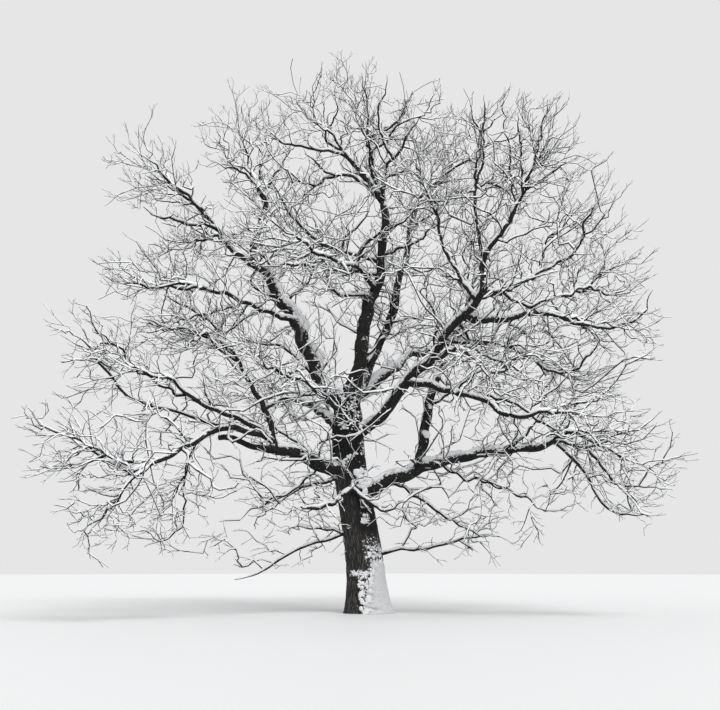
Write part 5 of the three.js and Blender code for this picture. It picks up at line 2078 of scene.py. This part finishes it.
@dataclass
class OakTree:
    """The whole tree, piece by piece."""

    snowfall: Snowfall = field(default_factory=Snowfall)
    mass_rounds: Sequence[Round] = (
        Round(targets=11, near=0.8, crook=0.06, radius=0.024, tip=0.0115, points=9),
        Round(targets=24, near=0.42, crook=0.06, radius=0.0145, tip=0.008, points=7),
        Round(targets=43, near=0.26, crook=0.05, radius=0.0078, tip=0.0048, points=5))
    limb_rounds: Sequence[Round] = (
        Round(targets=1.7, near=0.75, crook=0.06, radius=0.027, tip=0.012, points=9),
        Round(targets=3.6, near=0.4, crook=0.06, radius=0.016, tip=0.008, points=7),
        Round(targets=6.0, near=0.2, crook=0.05, radius=0.0082, tip=0.0048, points=5))
    first_shoots: Shoots = Shoots(
        spacing=0.36, shortest=0.16, longest=0.46, radius=0.0084, tip=0.005, points=3)
    second_shoots: Shoots = Shoots(
        spacing=0.2, shortest=0.09, longest=0.22, radius=0.006, tip=0.0043, points=2)
    snowy_shoots: float = 0.75
    first_on_trunk: float = 0.78
    first_on_bough: float = 0.3
    first_on_side_limb: float = 0.15
    crown_proud: float = 0.05
    most: int = 170_000
    counted: int = 0

    def build(self) -> None:
        """Builds the limbs, the twigs and the snow."""
        self.make_finishes()
        self.set_out_limbs()
        self.lay_bark()
        self.lay_limb_snow()
        self.lay_twigs()

    def make_finishes(self) -> None:
        """The finishes."""
        self.trunk_bark = BarkFinish("trunk bark", TRUNK_PLATE).make()
        self.bough_bark = BarkFinish("bough bark", BOUGH_PLATE).make()
        self.tints = [TwigFinish(f"twig tint {number + 1}", colour).make()
                      for number, colour in enumerate(TWIG_TINTS)]
        self.snow = SnowFinish("settled snow").make()
        # Painted shade: the snow packed at the trunk's foot is painted greyer than the settled snow, for the
        # shade that it stands in, and its hollows greyer still.
        self.shaded_packed_snow = SnowFinish(
            "packed snow in painted shade", colour=(0.6, 0.605, 0.615), hollow_shade=(0.45, 0.46, 0.475)).make()
        self.twig_snow = SnowFinish("snow on twigs", colour=(0.93, 0.935, 0.945), textured=False).make()

    def set_out_limbs(self) -> None:
        """The trunk, the frame's boughs and the side limbs."""
        self.trunk = Trunk()
        self.limbs: dict[str, Trunk | Bough] = {"trunk": self.trunk}
        for seed, (name, row) in enumerate([*BOUGHS.items(), *SIDE_LIMBS.items()]):
            crook, tip = (BOUGH_CROOK, 1) if name in BOUGHS else (SIDE_CROOK, SIDE_TIP)
            self.limbs[name] = Bough(self.limbs[row.parent], row, crook, LIMB_SEED + seed, tip)

    def keep(self, piece: bpy.types.Object, slot: str, nodes: Sequence[str] = ()) -> None:
        """Hands a piece to the frame and reports it."""
        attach(piece, "root")
        if nodes:
            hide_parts(*nodes)
        triangles = len(piece.data.loops) - 2 * len(piece.data.polygons)
        self.counted += triangles
        log.info("%s: %d triangles", piece.name, triangles)

    def lay_bark(self) -> None:
        """The skins of the trunk, of the boughs and of the side limbs, with clods of snow on the trunk."""
        skin = TrunkBark().skin(self.trunk)
        clods = skin.laid("clods source")
        trunk = ReliefRecipe(TRUNK_PLATE).cast(skin.laid("trunk source"), "trunk_bark",
                                               Material=self.trunk_bark)
        self.keep(trunk, "bark", ["trunk"])
        bumps = ClodRecipe().cast(clods, "trunk_clods", Density=260.0, Smallest=0.008, Largest=0.024,
                                  Material=self.snow)
        self.keep(bumps, "snow")
        relief, bark = ReliefRecipe(BOUGH_PLATE), BoughBark(self.snowfall)
        for group in LIMB_GROUPS:
            skins = [bark.skin(self.limbs[name], group, seed, SNOW_LEFT.get(name, 1), name == STUB)
                     for seed, name in enumerate(group.names)]
            source = Skin.joined(skins).laid("boughs source")
            piece = relief.cast(source, f"{group.label}_bark", Material=self.bough_bark)
            self.keep(piece, "bark", [name for name in group.names if name in BOUGHS])

    def lay_limb_snow(self) -> None:
        """The snow along the limbs, in their crotches and against the trunk."""
        drifts = DriftRecipe()
        foot = drifts.cast(FootDrift(self.trunk).skin().laid("foot source"), "foot_snow_drift",
                           Lump_Scale=9.0, Material=self.shaded_packed_snow)
        self.keep(foot, "snow", ["foot_snow"])
        mounds = CrotchSnow(self.limbs).mounds()
        for seed, cluster in enumerate(TRUNK_CLUSTERS):
            mounds += cluster.lumps(self.trunk, CLUSTER_SEED + seed)
        clumps = Skin.joined([mound.skin() for mound in mounds]).laid("clumps source")
        self.keep(drifts.cast(clumps, "crotch_snow", Lump_Scale=9.0, Material=self.snow), "snow")
        ridges = SnowRidges(self.snowfall)
        for label, table in (("bough", BOUGHS), ("side_limb", SIDE_LIMBS)):
            skins = [skin for seed, name in enumerate(table) if name != STUB
                     for skin in ridges.skins(self.limbs[name], RIDGE_SEED + seed, SNOW_LEFT.get(name, 1))]
            source = Skin.joined(skins).laid("ridges source")
            self.keep(drifts.cast(source, f"{label}_snow", Material=self.snow), "snow")

    def grown_masses(self) -> tuple[list[Mass], CrownSpace]:
        """The masses with the frame's own twigs, and the space that finer twigs keep to."""
        masses = [Mass(self.limbs[row.bough], row, index) for index, row in enumerate(MASSES.values())]
        middles, halves = np.array([mass.middle for mass in masses]), np.array([mass.half for mass in masses])
        steps = np.linspace(0, 1, OBSTACLE_STEPS + 1)
        rows = [(self.limbs[name].line.point(steps), self.limbs[name].radius(steps))
                for name in ("trunk", *BOUGHS)]
        obstacles = Obstacles(rows + [mass.obstacle for mass in masses])
        for index, mass in enumerate(masses):
            mass.grow(middles, halves, obstacles, len(rows) + index)
        log.info("frame twigs: %d", sum(len(mass.twigs) for mass in masses))
        low, high = np.array(CAD_BOX[0]) - self.crown_proud, np.array(CAD_BOX[1]) + self.crown_proud
        return masses, CrownSpace(low, high, middles, halves)

    def grown_sprays(self, crown: CrownSpace) -> list[Path]:
        """The sprays of twigs along the limbs."""
        sprays = []
        for seed, (name, limb) in enumerate(self.limbs.items()):
            if name == STUB:
                continue
            first_share = self.first_on_bough if name in BOUGHS else self.first_on_side_limb
            stand = LimbSprays(limb, seed, self.first_on_trunk if name == "trunk" else first_share)
            stand.grow(crown, self.limb_rounds)
            sprays += stand.paths
        return sprays

    def lay_twigs(self) -> None:
        """The masses, the sprays along the limbs, their shoots and the snow on them."""
        masses, crown = self.grown_masses()
        for mass in masses:
            mass.carry_on(self.mass_rounds, crown)
        in_masses = [path for mass in masses for path in mass.paths]
        groups = (("mass_twigs", in_masses, list(MASSES)), ("limb_twigs", self.grown_sprays(crown), []))
        settled, tubes, snow_tubes = TwigSnow(self.snowfall), TubeRecipe(len(self.tints)), TubeRecipe(1)
        tinted = {f"Tint_{number}": tint for number, tint in enumerate(self.tints)}
        for seed, (label, paths, nodes) in enumerate(groups):
            shoots = self.first_shoots.grow(paths, FIRST_SHOOTS_SEED + seed, crown)
            ends = self.second_shoots.grow(shoots, SECOND_SHOOTS_SEED + seed, crown)
            log.info("%s: %d twigs, %d shoots, %d ends", label, len(paths), len(shoots), len(ends))
            snow = settled.settle(paths, 1, TWIG_SNOW_SEED + seed)
            snow += settled.settle(shoots, self.snowy_shoots, SHOOT_SNOW_SEED + seed)
            for number, batch in enumerate(batches(paths + shoots + ends, self.most)):
                source = lines_object(batch, len(self.tints))
                piece = tubes.cast(source, f"{label}_{number + 1}", Turn=math.pi / 2, **tinted)
                self.keep(piece, "twigs", nodes if number == 0 else ())
            for number, batch in enumerate(batches(snow, self.most)):
                piece = snow_tubes.cast(lines_object(batch, 1), f"{label}_snow_{number + 1}",
                                        Turn=-math.pi / 2, Tint_0=self.twig_snow)
                self.keep(piece, "snow")


def main() -> None:
    """Builds the tree in the studio."""
    logging.basicConfig(level=logging.INFO, format="%(message)s")
    tree = OakTree()
    tree.build()
    log.info("whole tree: %d triangles", tree.counted)
    Studio().build()


if __name__ == "__main__":
    main()
